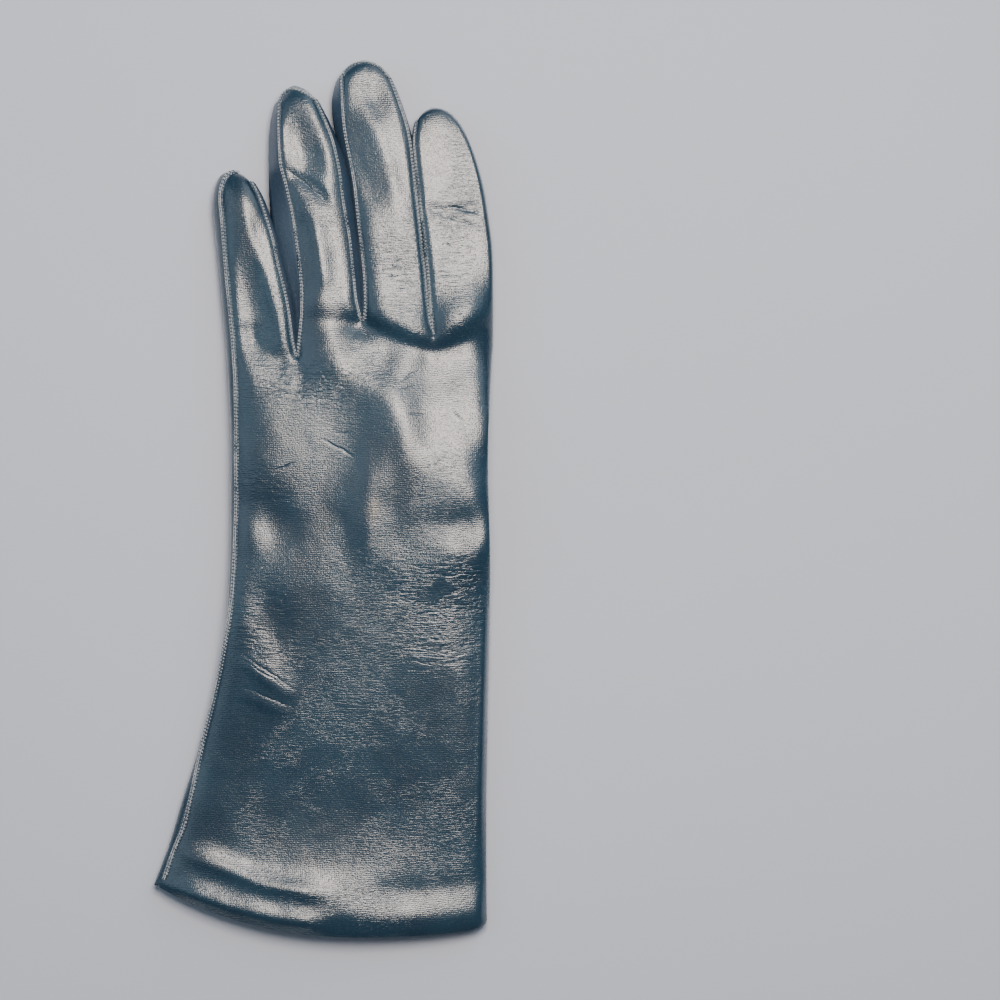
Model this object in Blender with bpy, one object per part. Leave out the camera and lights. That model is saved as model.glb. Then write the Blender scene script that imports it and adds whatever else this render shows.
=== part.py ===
"""A leather dress glove for the left hand, lying on its palm with the thumb folded under it.

It is cut and sewn as a real glove is. The trank is the one large piece of leather that makes the back, the
palm and the cuff: it is folded at the index side and sewn along the little finger's side. Three forked
fourchettes are the side walls between the fingers, and the thumb is a piece of its own, set in a hole in
the palm.

The frame is in metres with +Z up. The glove lies on the plane z = 0 with its fingers towards +Y and its
index side towards +X, and the origin is the middle of its base. While it is modelled, x is measured from
the little side of the palm and y from the lowest point of the hem.
"""

from collections import namedtuple
from math import cos, exp, pi, radians, sin, sqrt

import bmesh
import bpy
import numpy as np
from mathutils import Matrix, Vector

# Sizes of the whole glove, in metres
HAND_LENGTH = 0.2054  # the hem's lowest point to the crotch between ring and middle finger
PALM_WIDTH = 0.089  # laid flat, across the knuckles
CUFF_FLARE = 0.0253  # how far the hem's outer corner stands out past the palm
FINGER_REACH = 0.087  # the length that the lines between the fingers are drawn over
WALL = 0.0011  # the leather
SEAM_GAP = 0.0004  # between two pieces that are sewn to each other
FINGER_GAP = 0.0009  # between two fingers that lie side by side

# The hem: its edge rises to both corners, and the leather is turned in once
HEM_WIDTH = 0.014
HEM_LITTLE_RISE = 0.0177
HEM_INDEX_RISE = 0.0030
HEM_LOWEST = 0.63  # where the edge is lowest, as a share of the hem from the little side
HEM_CURVE = 2.2  # the power of the curve that the edge follows
HEM_STEP = 0.0008  # the slope at the turned-in edge
RIPPLE_HEIGHT = 0.0007  # the waves that run across the cuff
RIPPLE_START = 0.35  # where the first hollow ends and the ridge begins, in hem widths
RIPPLE_END = 5.0  # where the waves have faded, in hem widths

# Heights above the surface that the glove lies on
HAND_HEIGHT = 0.0145  # the top of the back
FINGER_HEIGHT = 0.0138
EDGE_TOP = 0.66  # where the back turns into the side, as a share of the height there
EDGE_BOTTOM = 0.19  # where the palm turns into the side, likewise
FINGER_SEAM_TOP = 0.76
FINGER_SEAM_BOTTOM = 0.18
FINGER_SLIM = 0.86  # the height of a finger near its tip, as a share of its height at the knuckle
TIP_MIDDLE = 0.32  # where the very tip lies, as a share of the finger's height
TIP_ROUND = 0.015  # the length over which a fingertip comes down to its tip
SIDE_INSET = 0.0035  # from the outline of the hand to the side seam on its back
PALM_SEAM_INSET = 0.0020  # from the outline to the seam on the palm
SEAM_OPENING = 0.25  # the share of a finger over which its seams part at the crotch

# The thumb, folded flat under the palm
THUMB_LENGTH = 0.067
THUMB_WIDTH = 0.0265
THUMB_HEIGHT = 0.0076
THUMB_TIP_ROUND = 0.017
THUMB_HEEL_ROUND = 0.011
THUMB_TIP_TAPER = 0.80  # the width near the tip, as a share of the width
THUMB_FLATNESS = 1.35  # how far a round section is pressed level: 1 leaves it round
THUMB_HEEL_ACROSS = 0.815  # where its heel lies, as a share of the palm's width from the little side
THUMB_HEEL_ALONG = 0.600  # and as a share of the hand's length from the hem
THUMB_TURN = 16.0  # degrees, from the direction of the fingers towards the little finger
THUMB_MARGIN = 0.0020  # how far past the thumb the palm stays level
THUMB_SLOPE = 0.015  # the length over which the palm comes down again
ROOM_OVER_THUMB = 0.0080  # between the palm and the back, where the palm lies on the thumb
EDGE_LIFT = 0.70  # how far the edge of the back rises over the thumb, as a share of what the palm does
MOUTH_LENGTH = 0.034  # the hole in the palm that the thumb is sewn round
MOUTH_WIDTH = 0.0165
MOUTH_ALONG = 0.36  # its middle, as a share of the thumb's length from the heel

# How finely the leather is divided
BACK_COLUMNS = 5  # for each finger
PALM_COLUMNS = 3
SIDE_COLUMNS = 2
HEM_ROWS = 3
CUFF_ROWS = 20
KNUCKLE_ROWS = 8
KNUCKLE_ZONE = 0.030  # the length over which the hand parts into fingers
FINGER_ROWS = 17
FINGER_ROW_POWER = 1.45  # how much closer the rows lie at the tip
FOURCHETTE_END_ROWS = 2  # rows at a fingertip that the fourchette doesn't reach
THUMB_ROWS = 12
THUMB_SIDES = 20
MOUTH_SIDES = 28
SMOOTH_ANGLE = 50  # degrees
MOST_SHELL = 1.5  # how far a sharp corner's inner face may lie, in walls
ARCH = 2.6  # the power of the arch across the back
HAND_FOLD_FADE = 8  # the powers with which the folds fade out towards the sides
FINGER_FOLD_FADE = 6
FLAT_SHARE = 0.50  # how much of the underside lies flat

# One row for each finger. Its length and the lengths over which its two sides round off to the tip are shares
# of the finger reach. Where the tip lies across the palm is a share of the palm's width. How far each seam on
# the back lies inside the outline is a share of the side seam's inset.
Finger = namedtuple("Finger", "name length tip_across little_round index_round little_seam index_seam")
FINGERS = (
    Finger("little", 0.575, 0.004, 0.149, 0.264, 1.00, 0.34),
    Finger("ring", 0.905, 0.243, 0.241, 0.276, 1.77, 0.86),
    Finger("middle", 1.000, 0.513, 0.195, 0.391, 0.86, 0.63),
    Finger("index", 0.820, 0.776, 0.167, 0.379, 0.40, 1.00),
)

# The lines between the fingers, from the little finger's outer side to the index finger's. A row holds how
# far along the finger reach it lies, and then shares of the palm's width from the little side.
FingerLines = namedtuple("FingerLines", "along little_outer little_ring ring_middle middle_index index_outer")
FINGER_LINES = (
    FingerLines(-0.20, -0.011, 0.268, 0.490, 0.757, 1.000),
    FingerLines(-0.10, -0.017, 0.257, 0.499, 0.763, 1.003),
    FingerLines(0.00, -0.026, 0.243, 0.506, 0.767, 1.004),
    FingerLines(0.10, -0.036, 0.223, 0.514, 0.767, 1.004),
    FingerLines(0.20, -0.045, 0.198, 0.509, 0.760, 1.003),
    FingerLines(0.30, -0.055, 0.177, 0.499, 0.749, 0.999),
    FingerLines(0.40, -0.066, 0.163, 0.487, 0.735, 0.985),
    FingerLines(0.50, -0.071, 0.158, 0.472, 0.719, 0.973),
    FingerLines(0.60, -0.073, 0.155, 0.446, 0.706, 0.961),
    FingerLines(0.70, -0.074, 0.154, 0.408, 0.688, 0.954),
    FingerLines(0.80, -0.074, 0.152, 0.389, 0.679, 0.951),
    FingerLines(1.00, -0.074, 0.151, 0.387, 0.677, 0.949),
)

# The knuckle line: how far below the deepest crotch each end of it and each crotch lies, as a share of the
# finger reach
Knuckle = namedtuple("Knuckle", "line drop")
KNUCKLES = (
    Knuckle("little_outer", 0.195),
    Knuckle("little_ring", 0.138),
    Knuckle("ring_middle", 0.000),
    Knuckle("middle_index", 0.054),
    Knuckle("index_outer", 0.100),
)

# The outline of the hand. A row holds how far along the hand it lies from the hem, how far the little side
# stands out, as a share of the flare, how far the index side lies in, as a share of the palm's width, and
# the height of the back, as a share of the hand's height.
HandSection = namedtuple("HandSection", "along little_out index_in height")
HAND_SECTIONS = (
    HandSection(0.00, 1.26, 0.019, 0.78),
    HandSection(0.09, 1.00, 0.022, 0.79),
    HandSection(0.155, 0.80, 0.022, 0.80),
    HandSection(0.22, 0.645, 0.022, 0.81),
    HandSection(0.285, 0.474, 0.019, 0.83),
    HandSection(0.35, 0.330, 0.017, 0.85),
    HandSection(0.415, 0.197, 0.014, 0.88),
    HandSection(0.48, 0.092, 0.010, 0.91),
    HandSection(0.546, 0.040, 0.008, 0.94),
    HandSection(0.63, 0.005, 0.008, 0.98),
    HandSection(0.72, 0.000, 0.014, 1.00),
    HandSection(0.81, 0.000, 0.015, 1.00),
    HandSection(0.87, 0.018, 0.008, 0.99),
    HandSection(0.917, 0.036, 0.003, 0.98),
    HandSection(1.00, 0.092, -0.004, 0.97),
)

# Folds and dents of the back, each a smooth hollow or swelling. A row holds its middle as shares of the
# palm's width from the little side and of the hand's length from the hem, its half length and half width
# as shares of the palm's width, its turn in degrees from the direction across the hand, and its height as
# a share of the hand's height.
Fold = namedtuple("Fold", "name across along half_length half_width turn height")
FOLDS = (
    Fold("knuckle_valley_middle", 0.61, 0.974, 0.170, 0.036, -20, -0.115),
    Fold("knuckle_valley_index", 0.88, 0.976, 0.120, 0.036, 27, -0.115),
    Fold("knuckle_valley_ring", 0.43, 1.004, 0.080, 0.034, -4, -0.070),
    Fold("little_base_side", 0.115, 0.969, 0.065, 0.034, -56, -0.085),
    Fold("little_base", 0.21, 0.938, 0.080, 0.034, -14, -0.095),
    Fold("hand_swelling", 0.72, 0.860, 0.200, 0.130, 62, 0.075),
    Fold("wrist_hollow", 0.78, 0.735, 0.200, 0.070, 12, -0.060),
    Fold("wrist_ridge_inner", 0.535, 0.700, 0.140, 0.035, 88, 0.045),
    Fold("wrist_ridge_index", 0.86, 0.640, 0.160, 0.060, 40, 0.055),
    Fold("wrist_hollow_little", 0.30, 0.745, 0.150, 0.060, -60, -0.040),
    Fold("little_side_swelling", 0.11, 0.640, 0.090, 0.060, 80, 0.050),
    Fold("cuff_ridge_little", 0.13, 0.430, 0.130, 0.045, -48, 0.050),
    Fold("cuff_hollow", 0.45, 0.330, 0.280, 0.100, -35, -0.045),
    Fold("cuff_ridge_index", 0.80, 0.400, 0.160, 0.080, 20, 0.040),
    Fold("little_finger_groove", 0.055, 1.115, 0.230, 0.034, 104, -0.075),
    Fold("ring_tip_dent", 0.315, 1.300, 0.100, 0.036, 100, -0.060),
    Fold("ring_crease", 0.315, 1.205, 0.090, 0.022, -28, -0.075),
    Fold("ring_groove", 0.335, 1.105, 0.110, 0.028, 106, -0.060),
    Fold("middle_tip_dent", 0.520, 1.342, 0.085, 0.036, 8, -0.045),
    Fold("middle_groove", 0.545, 1.240, 0.200, 0.042, 108, -0.090),
    Fold("index_crease", 0.835, 1.175, 0.090, 0.028, -8, -0.055),
)

TRANK = 0  # the number that marks its faces; the fourchettes follow from the little finger on
FOURCHETTES = ("fourchette_little_ring", "fourchette_ring_middle", "fourchette_middle_index")
LEATHER = {  # linear red, green and blue, roughness
    "trank": (0.060, 0.105, 0.160, 0.36),
    "fourchette": (0.052, 0.095, 0.148, 0.40),
    "thumb": (0.056, 0.100, 0.154, 0.38),
}


def mix(a, b, share):
    return a + (b - a) * share


def ease(share):
    """0 to 1 with a soft start and end."""
    share = min(1.0, max(0.0, share))
    return share * share * (3 - 2 * share)


def arch(across):
    """The arch over a width, for across from -1 to 1."""
    return 1 - abs(across) ** ARCH


def sole(across):
    """The underside over a width: 0 where it lies flat, and 1 at both sides."""
    return max(0.0, (abs(across) - FLAT_SHARE) / (1 - FLAT_SHARE)) ** 2


def rounded(depth, length):
    """A quarter ellipse: 0 at depth 0, and 1 from the given length on."""
    return sqrt(max(0.0, 1 - max(0.0, 1 - depth / length) ** 2))


def turned(vector, degrees):
    c, s = cos(radians(degrees)), sin(radians(degrees))
    return Vector((c * vector.x - s * vector.y, s * vector.x + c * vector.y))


def smooth_line(rows, column):
    """A smooth curve through one column of a table, as a function of its along column."""
    at = np.array([row.along for row in rows])
    value = np.array([getattr(row, column) for row in rows])
    slope = np.gradient(value, at)

    def read(along):
        along = float(np.clip(along, at[0], at[-1]))
        k = min(int(np.searchsorted(at, along, side="right")) - 1, len(at) - 2)
        step = at[k + 1] - at[k]
        t = (along - at[k]) / step
        ends = value[k] * (2 * t**3 - 3 * t**2 + 1) + value[k + 1] * (3 * t**2 - 2 * t**3)
        slopes = slope[k] * (t**3 - 2 * t**2 + t) + slope[k + 1] * (t**3 - t**2)
        return float(ends + slopes * step)

    return read


LINES = [smooth_line(FINGER_LINES, knuckle.line) for knuckle in KNUCKLES]
LITTLE_OUT = smooth_line(HAND_SECTIONS, "little_out")
INDEX_IN = smooth_line(HAND_SECTIONS, "index_in")
HEIGHT_SHARE = smooth_line(HAND_SECTIONS, "height")


def line_x(line, y):
    """Where a line between two fingers lies across the glove."""
    return PALM_WIDTH * LINES[line]((y - HAND_LENGTH) / FINGER_REACH)


def knuckle_point(line):
    y = HAND_LENGTH - KNUCKLES[line].drop * FINGER_REACH
    return Vector((line_x(line, y), y))


KnucklePlace = namedtuple("KnucklePlace", "along y")
KNUCKLE_POINTS = [knuckle_point(line) for line in range(len(KNUCKLES))]
KNUCKLE_SPAN = KNUCKLE_POINTS[-1].x - KNUCKLE_POINTS[0].x
KNUCKLE_SHARES = [(point.x - KNUCKLE_POINTS[0].x) / KNUCKLE_SPAN for point in KNUCKLE_POINTS]
KNUCKLE_PLACES = [KnucklePlace(share, point.y) for share, point in zip(KNUCKLE_SHARES, KNUCKLE_POINTS)]
KNUCKLE_Y = smooth_line(KNUCKLE_PLACES, "y")


def hem_y(across):
    """The hem's edge, which rises from its lowest point to both corners."""
    if across < HEM_LOWEST:
        return HEM_LITTLE_RISE * (1 - across / HEM_LOWEST) ** HEM_CURVE
    return HEM_INDEX_RISE * ((across - HEM_LOWEST) / (1 - HEM_LOWEST)) ** HEM_CURVE


def relief(x, y):
    """How far the folds and dents raise the back."""
    height = 0.0
    for fold in FOLDS:
        away = Vector((x - fold.across * PALM_WIDTH, y - fold.along * HAND_LENGTH))
        away = turned(away, -fold.turn) / PALM_WIDTH
        height += fold.height * exp(-((away.x / fold.half_length) ** 2) - (away.y / fold.half_width) ** 2)
    return height * HAND_HEIGHT


THUMB_HEEL = Vector((THUMB_HEEL_ACROSS * PALM_WIDTH, THUMB_HEEL_ALONG * HAND_LENGTH))
THUMB_WAY = turned(Vector((0, 1)), THUMB_TURN)
PALM_OVER_THUMB = THUMB_HEIGHT + SEAM_GAP
THUMB_SWELL = PALM_OVER_THUMB + ROOM_OVER_THUMB + 2 * WALL - HAND_HEIGHT


def thumb_rise(x, y):
    """1 where the palm lies on the thumb, and 0 away from it."""
    half = THUMB_WIDTH / 2
    along = (Vector((x, y)) - THUMB_HEEL).dot(THUMB_WAY)
    nearest = THUMB_HEEL + THUMB_WAY * min(THUMB_LENGTH - half, max(half, along))
    past = (Vector((x, y)) - nearest).length - half - THUMB_MARGIN
    return 1 - ease(past / THUMB_SLOPE)


def side_places(top, bottom, outline):
    """The places of a side wall between its two seams, bulging out to the outline."""
    places = []
    for k in range(1, SIDE_COLUMNS):
        share = k / SIDE_COLUMNS
        place = top.lerp(bottom, share)
        bulge = 4 * share * (1 - share)
        places.append(Vector((mix(place.x, outline.x, bulge), mix(place.y, outline.y, bulge), place.z)))
    return places


# A ring of points round the hand or a finger. The back and the palm run from the little side to the index
# side, and the side walls run from the back down to the palm without their ends.
Row = namedtuple("Row", "back palm little_side index_side")


def little_wall(row):
    return [row.back[0], *row.little_side, row.palm[0]]


def index_wall(row):
    return [row.back[-1], *row.index_side, row.palm[-1]]


class Skin:
    """The outer surface of the glove as one mesh, with each face marked with its piece."""

    def __init__(self):
        self.mesh = bmesh.new()
        self.wall = self.mesh.verts.layers.float.new("wall")
        self.hem = self.mesh.verts.layers.int.new("hem")
        self.corner = self.mesh.verts.layers.float_vector.new("corner")
        self.inner = self.mesh.verts.layers.float_vector.new("inner")

    def row(self, back, palm, little_outline, index_outline, wall=WALL, hem=0):
        parts = (
            back,
            palm,
            side_places(back[0], palm[0], little_outline),
            side_places(back[-1], palm[-1], index_outline),
        )
        row = Row(*([self.mesh.verts.new(place) for place in places] for places in parts))
        for vert in (vert for verts in row for vert in verts):
            vert[self.wall] = wall
            vert[self.hem] = hem
        return row

    def face(self, *verts, piece=TRANK):
        self.mesh.faces.new(verts).material_index = piece

    def strip(self, line, next_line, piece=TRANK):
        for a, b, c, d in zip(line, line[1:], next_line[1:], next_line):
            self.face(a, b, c, d, piece=piece)

    def join(self, row, next_row, little_piece=TRANK, index_piece=TRANK):
        self.strip(row.back, next_row.back)
        self.strip(row.palm, next_row.palm)
        self.strip(little_wall(row), little_wall(next_row), little_piece)
        self.strip(index_wall(row), index_wall(next_row), index_piece)


def hand_shares():
    """How far each row of the hand lies from the hem, as a share, and whether it lies in the hem."""
    hem = HEM_WIDTH / HAND_LENGTH
    step = HEM_STEP / HAND_LENGTH
    knuckle = 1 - KNUCKLE_ZONE / HAND_LENGTH
    rows = [(share, True) for share in np.linspace(0, hem, HEM_ROWS + 1)]
    rows += [(share, False) for share in np.linspace(hem + step, knuckle, CUFF_ROWS + 1)]
    rows += [(share, False) for share in np.linspace(knuckle, 1, KNUCKLE_ROWS + 1)[1:-1]]
    return rows


def cuff_wave(share):
    """The waves across the cuff: a hollow above the hem, and a ridge above that."""
    from_hem = share * HAND_LENGTH / HEM_WIDTH
    return RIPPLE_HEIGHT * sin(pi * (from_hem - RIPPLE_START)) * (1 - ease(from_hem / RIPPLE_END))


class HandRow:
    """The places of one row across the hand, a share of the way from the hem to the knuckle line."""

    def __init__(self, share):
        self.share = share
        y_little = mix(hem_y(0), KNUCKLE_Y(0), share)
        y_index = mix(hem_y(1), KNUCKLE_Y(1), share)
        self.little = Vector((-CUFF_FLARE * LITTLE_OUT(y_little / HAND_LENGTH), y_little))
        self.index = Vector((PALM_WIDTH * (1 - INDEX_IN(y_index / HAND_LENGTH)), y_index))
        self.width = self.index.x - self.little.x
        self.parting = ease(1 - (1 - share) * HAND_LENGTH / KNUCKLE_ZONE)
        self.height = HAND_HEIGHT * HEIGHT_SHARE(share)

    def back(self, hand_across, finger_across, x, y):
        whole = arch(hand_across)
        rise = thumb_rise(x, y)
        over_hand = mix(EDGE_TOP * self.height, self.height + cuff_wave(self.share), whole)
        over_hand += (1 - whole) * EDGE_LIFT * PALM_OVER_THUMB * rise * (1 - self.parting)
        over_finger = FINGER_HEIGHT * mix(FINGER_SEAM_TOP, 1, arch(finger_across))
        over_hand_fold = 1 - abs(hand_across) ** HAND_FOLD_FADE
        soft = mix(over_hand_fold, 1 - abs(finger_across) ** FINGER_FOLD_FADE, self.parting)
        return mix(over_hand, over_finger, self.parting) + whole * THUMB_SWELL * rise + soft * relief(x, y)

    def palm(self, hand_across, finger_across, x, y):
        under_hand = EDGE_BOTTOM * self.height * sole(hand_across) ** 2
        under_finger = FINGER_SEAM_BOTTOM * FINGER_HEIGHT * sole(finger_across)
        return mix(under_hand, under_finger, self.parting) + PALM_OVER_THUMB * thumb_rise(x, y)

    def places(self, height, inset, columns):
        """The points of one side, with the given number of columns over each finger."""
        ends = [inset / self.width, *KNUCKLE_SHARES[1:-1], 1 - inset / self.width]
        places = []
        for k in range(len(FINGERS) * columns + 1):
            finger = min(k // columns, len(FINGERS) - 1)
            finger_share = k / columns - finger
            across = mix(ends[finger], ends[finger + 1], finger_share)
            hand_across = 2 * (across - ends[0]) / (ends[-1] - ends[0]) - 1
            x = mix(self.little.x, self.index.x, across)
            y = mix(hem_y(across), KNUCKLE_Y(across), self.share)
            places.append(Vector((x, y, height(hand_across, 2 * finger_share - 1, x, y))))
        return places


def hand_row(skin, share, in_hem):
    row = HandRow(share)
    back = row.places(row.back, SIDE_INSET, BACK_COLUMNS)
    palm = row.places(row.palm, PALM_SEAM_INSET, PALM_COLUMNS)
    wall = 2 * WALL if in_hem else WALL
    return skin.row(back, palm, row.little, row.index, wall, hem=int(share == 0))


class FingerRow:
    """The places of one row across a finger, a share of the way from the knuckle line to its tip."""

    def __init__(self, index, share):
        finger = FINGERS[index]
        tip = finger_tip(index)
        outer_little, outer_index = index == 0, index == len(FINGERS) - 1
        y_little = mix(KNUCKLE_POINTS[index].y, tip.y, share)
        y_index = mix(KNUCKLE_POINTS[index + 1].y, tip.y, share)
        little_round = rounded(tip.y - y_little, finger.little_round * FINGER_REACH)
        index_round = rounded(tip.y - y_index, finger.index_round * FINGER_REACH)
        x_little = line_x(index, y_little) + (0 if outer_little else FINGER_GAP / 2)
        x_index = line_x(index + 1, y_index) - (0 if outer_index else FINGER_GAP / 2)
        self.share = share
        self.little = Vector((mix(tip.x, x_little, little_round), y_little))
        self.index = Vector((mix(tip.x, x_index, index_round), y_index))
        opening = ease(share / SEAM_OPENING)
        little_opening = little_round * (1 if outer_little else opening)
        index_opening = index_round * (1 if outer_index else opening)
        seams = (finger.little_seam * little_opening, finger.index_seam * index_opening)
        self.back_insets = tuple(share * SIDE_INSET for share in seams)
        self.palm_insets = (PALM_SEAM_INSET * little_opening, PALM_SEAM_INSET * index_opening)
        self.fullness = rounded(tip.y - max(y_little, y_index), TIP_ROUND)
        self.height = FINGER_HEIGHT * mix(1, FINGER_SLIM, ease(share))

    def back(self, across, x, y):
        crown = self.height * mix(FINGER_SEAM_TOP, 1, arch(across))
        lift = THUMB_SWELL * thumb_rise(x, y) * (1 - self.share)
        fold = relief(x, y) * self.fullness * (1 - abs(across) ** FINGER_FOLD_FADE)
        return mix(tip_height(), crown, self.fullness) + lift + fold

    def palm(self, across, x, y):
        under = self.height * FINGER_SEAM_BOTTOM * sole(across)
        lift = PALM_OVER_THUMB * thumb_rise(x, y) * (1 - self.share)
        return mix(tip_height(), under, self.fullness) + lift

    def places(self, height, insets, columns):
        places = []
        for k in range(columns + 1):
            t = k / columns
            x = mix(self.little.x + insets[0], self.index.x - insets[1], t)
            y = mix(self.little.y, self.index.y, t)
            places.append(Vector((x, y, height(2 * t - 1, x, y))))
        return places


def tip_height():
    return TIP_MIDDLE * FINGER_HEIGHT


def finger_tip(index):
    finger = FINGERS[index]
    return Vector((finger.tip_across * PALM_WIDTH, HAND_LENGTH + finger.length * FINGER_REACH))


def finger_row(skin, index, share):
    row = FingerRow(index, share)
    back = row.places(row.back, row.back_insets, BACK_COLUMNS)
    palm = row.places(row.palm, row.palm_insets, PALM_COLUMNS)
    return skin.row(back, palm, row.little, row.index)


def square_crotch(skin, wall, sideways):
    """Gives the corner of a crotch its way to the inside: off the web, off the wall and off the back."""
    for vert in wall:
        upright = 1 if vert is wall[-1] else -1 if vert is wall[0] else 0
        vert[skin.corner] = Vector((sideways, -1, upright))


def join_knuckles(skin, hand, bases):
    """Parts the hand into fingers, with the fourchette across each crotch."""
    for index, base in enumerate(bases):
        skin.strip(hand.back[index * BACK_COLUMNS :], base.back)
        skin.strip(hand.palm[index * PALM_COLUMNS :], base.palm)
    skin.strip(little_wall(hand), little_wall(bases[0]))
    skin.strip(index_wall(hand), index_wall(bases[-1]))
    for crotch, (left, right) in enumerate(zip(bases, bases[1:]), start=1):
        skin.face(hand.back[crotch * BACK_COLUMNS], left.back[-1], right.back[0])
        skin.face(hand.palm[crotch * PALM_COLUMNS], left.palm[-1], right.palm[0])
        skin.strip(index_wall(left), little_wall(right), piece=crotch)
        square_crotch(skin, index_wall(left), sideways=-1)
        square_crotch(skin, little_wall(right), sideways=1)


def finger_faces(skin, index, row):
    """One finger from its row on the knuckle line to its tip."""
    for k in range(1, FINGER_ROWS + 1):
        next_row = finger_row(skin, index, 1 - (1 - k / (FINGER_ROWS + 1)) ** FINGER_ROW_POWER)
        sewn = k <= FINGER_ROWS - FOURCHETTE_END_ROWS
        little_piece = index if sewn else TRANK
        index_piece = index + 1 if sewn and index + 1 < len(FINGERS) else TRANK
        skin.join(row, next_row, little_piece, index_piece)
        row = next_row
    tip = skin.mesh.verts.new((*finger_tip(index), tip_height()))
    tip[skin.wall] = WALL
    for line in (row.back, row.palm, little_wall(row), index_wall(row)):
        for a, b in zip(line, line[1:]):
            skin.face(a, b, tip)


def glove_skin():
    """The outer surface of the glove without its thumb, open at the hem."""
    skin = Skin()
    rows = [hand_row(skin, share, in_hem) for share, in_hem in hand_shares()]
    for row, next_row in zip(rows, rows[1:]):
        skin.join(row, next_row)
    bases = [finger_row(skin, index, 0) for index in range(len(FINGERS))]
    join_knuckles(skin, rows[-1], bases)
    for index, base in enumerate(bases):
        finger_faces(skin, index, base)
    bmesh.ops.recalc_face_normals(skin.mesh, faces=skin.mesh.faces)
    bmesh.ops.triangulate(skin.mesh, faces=skin.mesh.faces)
    skin.mesh.normal_update()
    for vert in skin.mesh.verts:
        way = vert[skin.corner]
        if not way.length:
            way = -vert.normal * min(MOST_SHELL, vert.calc_shell_factor())
        vert[skin.inner] = way * vert[skin.wall]
    return skin


def open_seams(mesh, hem):
    """Moves the sewn edges of a piece back into it, so that it stays clear of its neighbour."""
    ways = {}
    for edge in mesh.edges:
        if not edge.is_boundary or all(vert[hem] for vert in edge.verts):
            continue
        loop = edge.link_loops[0]
        along = (loop.link_loop_next.vert.co - loop.vert.co).normalized()
        into = loop.face.normal.cross(along)
        for vert in edge.verts:
            ways.setdefault(vert, []).append(into)
    for vert, (first, *others) in ways.items():
        other = others[0] if others else first
        vert.co += (first + other) / max(0.5, 1 + first.dot(other)) * SEAM_GAP / 2


def thicken(mesh, inner):
    """Gives a sheet of leather its inner face and the cut edges round it."""
    outer = list(mesh.faces)
    cut_loops = [edge.link_loops[0] for edge in mesh.edges if edge.is_boundary]
    cuts = [(loop.vert, loop.link_loop_next.vert) for loop in cut_loops]
    inside = {vert: mesh.verts.new(vert.co + vert[inner]) for vert in list(mesh.verts)}
    for face in outer:
        mesh.faces.new([inside[vert] for vert in reversed(face.verts)])
    for a, b in cuts:
        mesh.faces.new((b, a, inside[a], inside[b]))


def leather_piece(skin, piece, name, centre, look):
    """One piece of leather as an object: its part of the skin with its thickness."""
    mesh = skin.mesh.copy()
    others = [face for face in mesh.faces if face.material_index != piece]
    bmesh.ops.delete(mesh, geom=others, context="FACES")
    mesh.normal_update()
    open_seams(mesh, mesh.verts.layers.int["hem"])
    thicken(mesh, mesh.verts.layers.float_vector["inner"])
    bmesh.ops.triangulate(mesh, faces=mesh.faces)
    for face in mesh.faces:
        face.material_index = 0
    return add_object(mesh, name, centre, look)


def thumb_outline(along):
    """Half the thumb's width, and its fullness from 0 to 1, at a place along it."""
    full = rounded(along, THUMB_HEEL_ROUND) * rounded(THUMB_LENGTH - along, THUMB_TIP_ROUND)
    return THUMB_WIDTH / 2 * mix(1, THUMB_TIP_TAPER, ease(along / THUMB_LENGTH)) * full, sqrt(full)


def thumb_shell():
    """The thumb's outer surface, with a level top and underside."""
    mesh = bmesh.new()
    aside = turned(THUMB_WAY, -90)

    def place(along, sideways, height):
        return mesh.verts.new((*(THUMB_HEEL + THUMB_WAY * along + aside * sideways), height))

    rings = []
    for k in range(1, THUMB_ROWS + 1):
        along = THUMB_LENGTH * (1 - cos(pi * k / (THUMB_ROWS + 1))) / 2
        half_width, fullness = thumb_outline(along)
        ring = []
        for side in range(THUMB_SIDES):
            angle = 2 * pi * (side + 0.5) / THUMB_SIDES
            level = min(1, max(-1, THUMB_FLATNESS * sin(angle))) * fullness
            ring.append(place(along, half_width * cos(angle), THUMB_HEIGHT * (1 + level) / 2))
        rings.append(ring)
    for ring, next_ring in zip(rings, rings[1:]):
        for k in range(THUMB_SIDES):
            mesh.faces.new((ring[k - 1], ring[k], next_ring[k], next_ring[k - 1]))
    for ring, along in ((rings[0], 0), (rings[-1], THUMB_LENGTH)):
        end = place(along, 0, THUMB_HEIGHT / 2)
        for k in range(THUMB_SIDES):
            mesh.faces.new((ring[k - 1], ring[k], end))
    bmesh.ops.recalc_face_normals(mesh, faces=mesh.faces)
    return mesh


def mouth_cutter(centre):
    """An oval column that cuts the hole in the palm and the mouth of the thumb in one line."""
    mesh = bmesh.new()
    bottom, top = THUMB_HEIGHT / 2, PALM_OVER_THUMB + WALL + ROOM_OVER_THUMB / 3
    bmesh.ops.create_cone(
        mesh, cap_ends=True, segments=MOUTH_SIDES, radius1=0.5, radius2=0.5, depth=top - bottom
    )
    middle = THUMB_HEEL + THUMB_WAY * MOUTH_ALONG * THUMB_LENGTH
    place = Matrix.Translation((*middle, (top + bottom) / 2)) @ Matrix.Rotation(radians(THUMB_TURN), 4, "Z")
    mesh.transform(place @ Matrix.Diagonal((MOUTH_WIDTH, MOUTH_LENGTH, 1, 1)))
    cutter = add_object(mesh, "mouth_cutter", centre)
    cutter.hide_render = True
    cutter.display_type = "WIRE"
    return cutter


def leather(name, red, green, blue, roughness):
    material = bpy.data.materials.new(name)
    material.use_nodes = True
    shader = material.node_tree.nodes["Principled BSDF"]
    shader.inputs["Base Color"].default_value = (red, green, blue, 1)
    shader.inputs["Roughness"].default_value = roughness
    shader.inputs["Metallic"].default_value = 0
    return material


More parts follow.
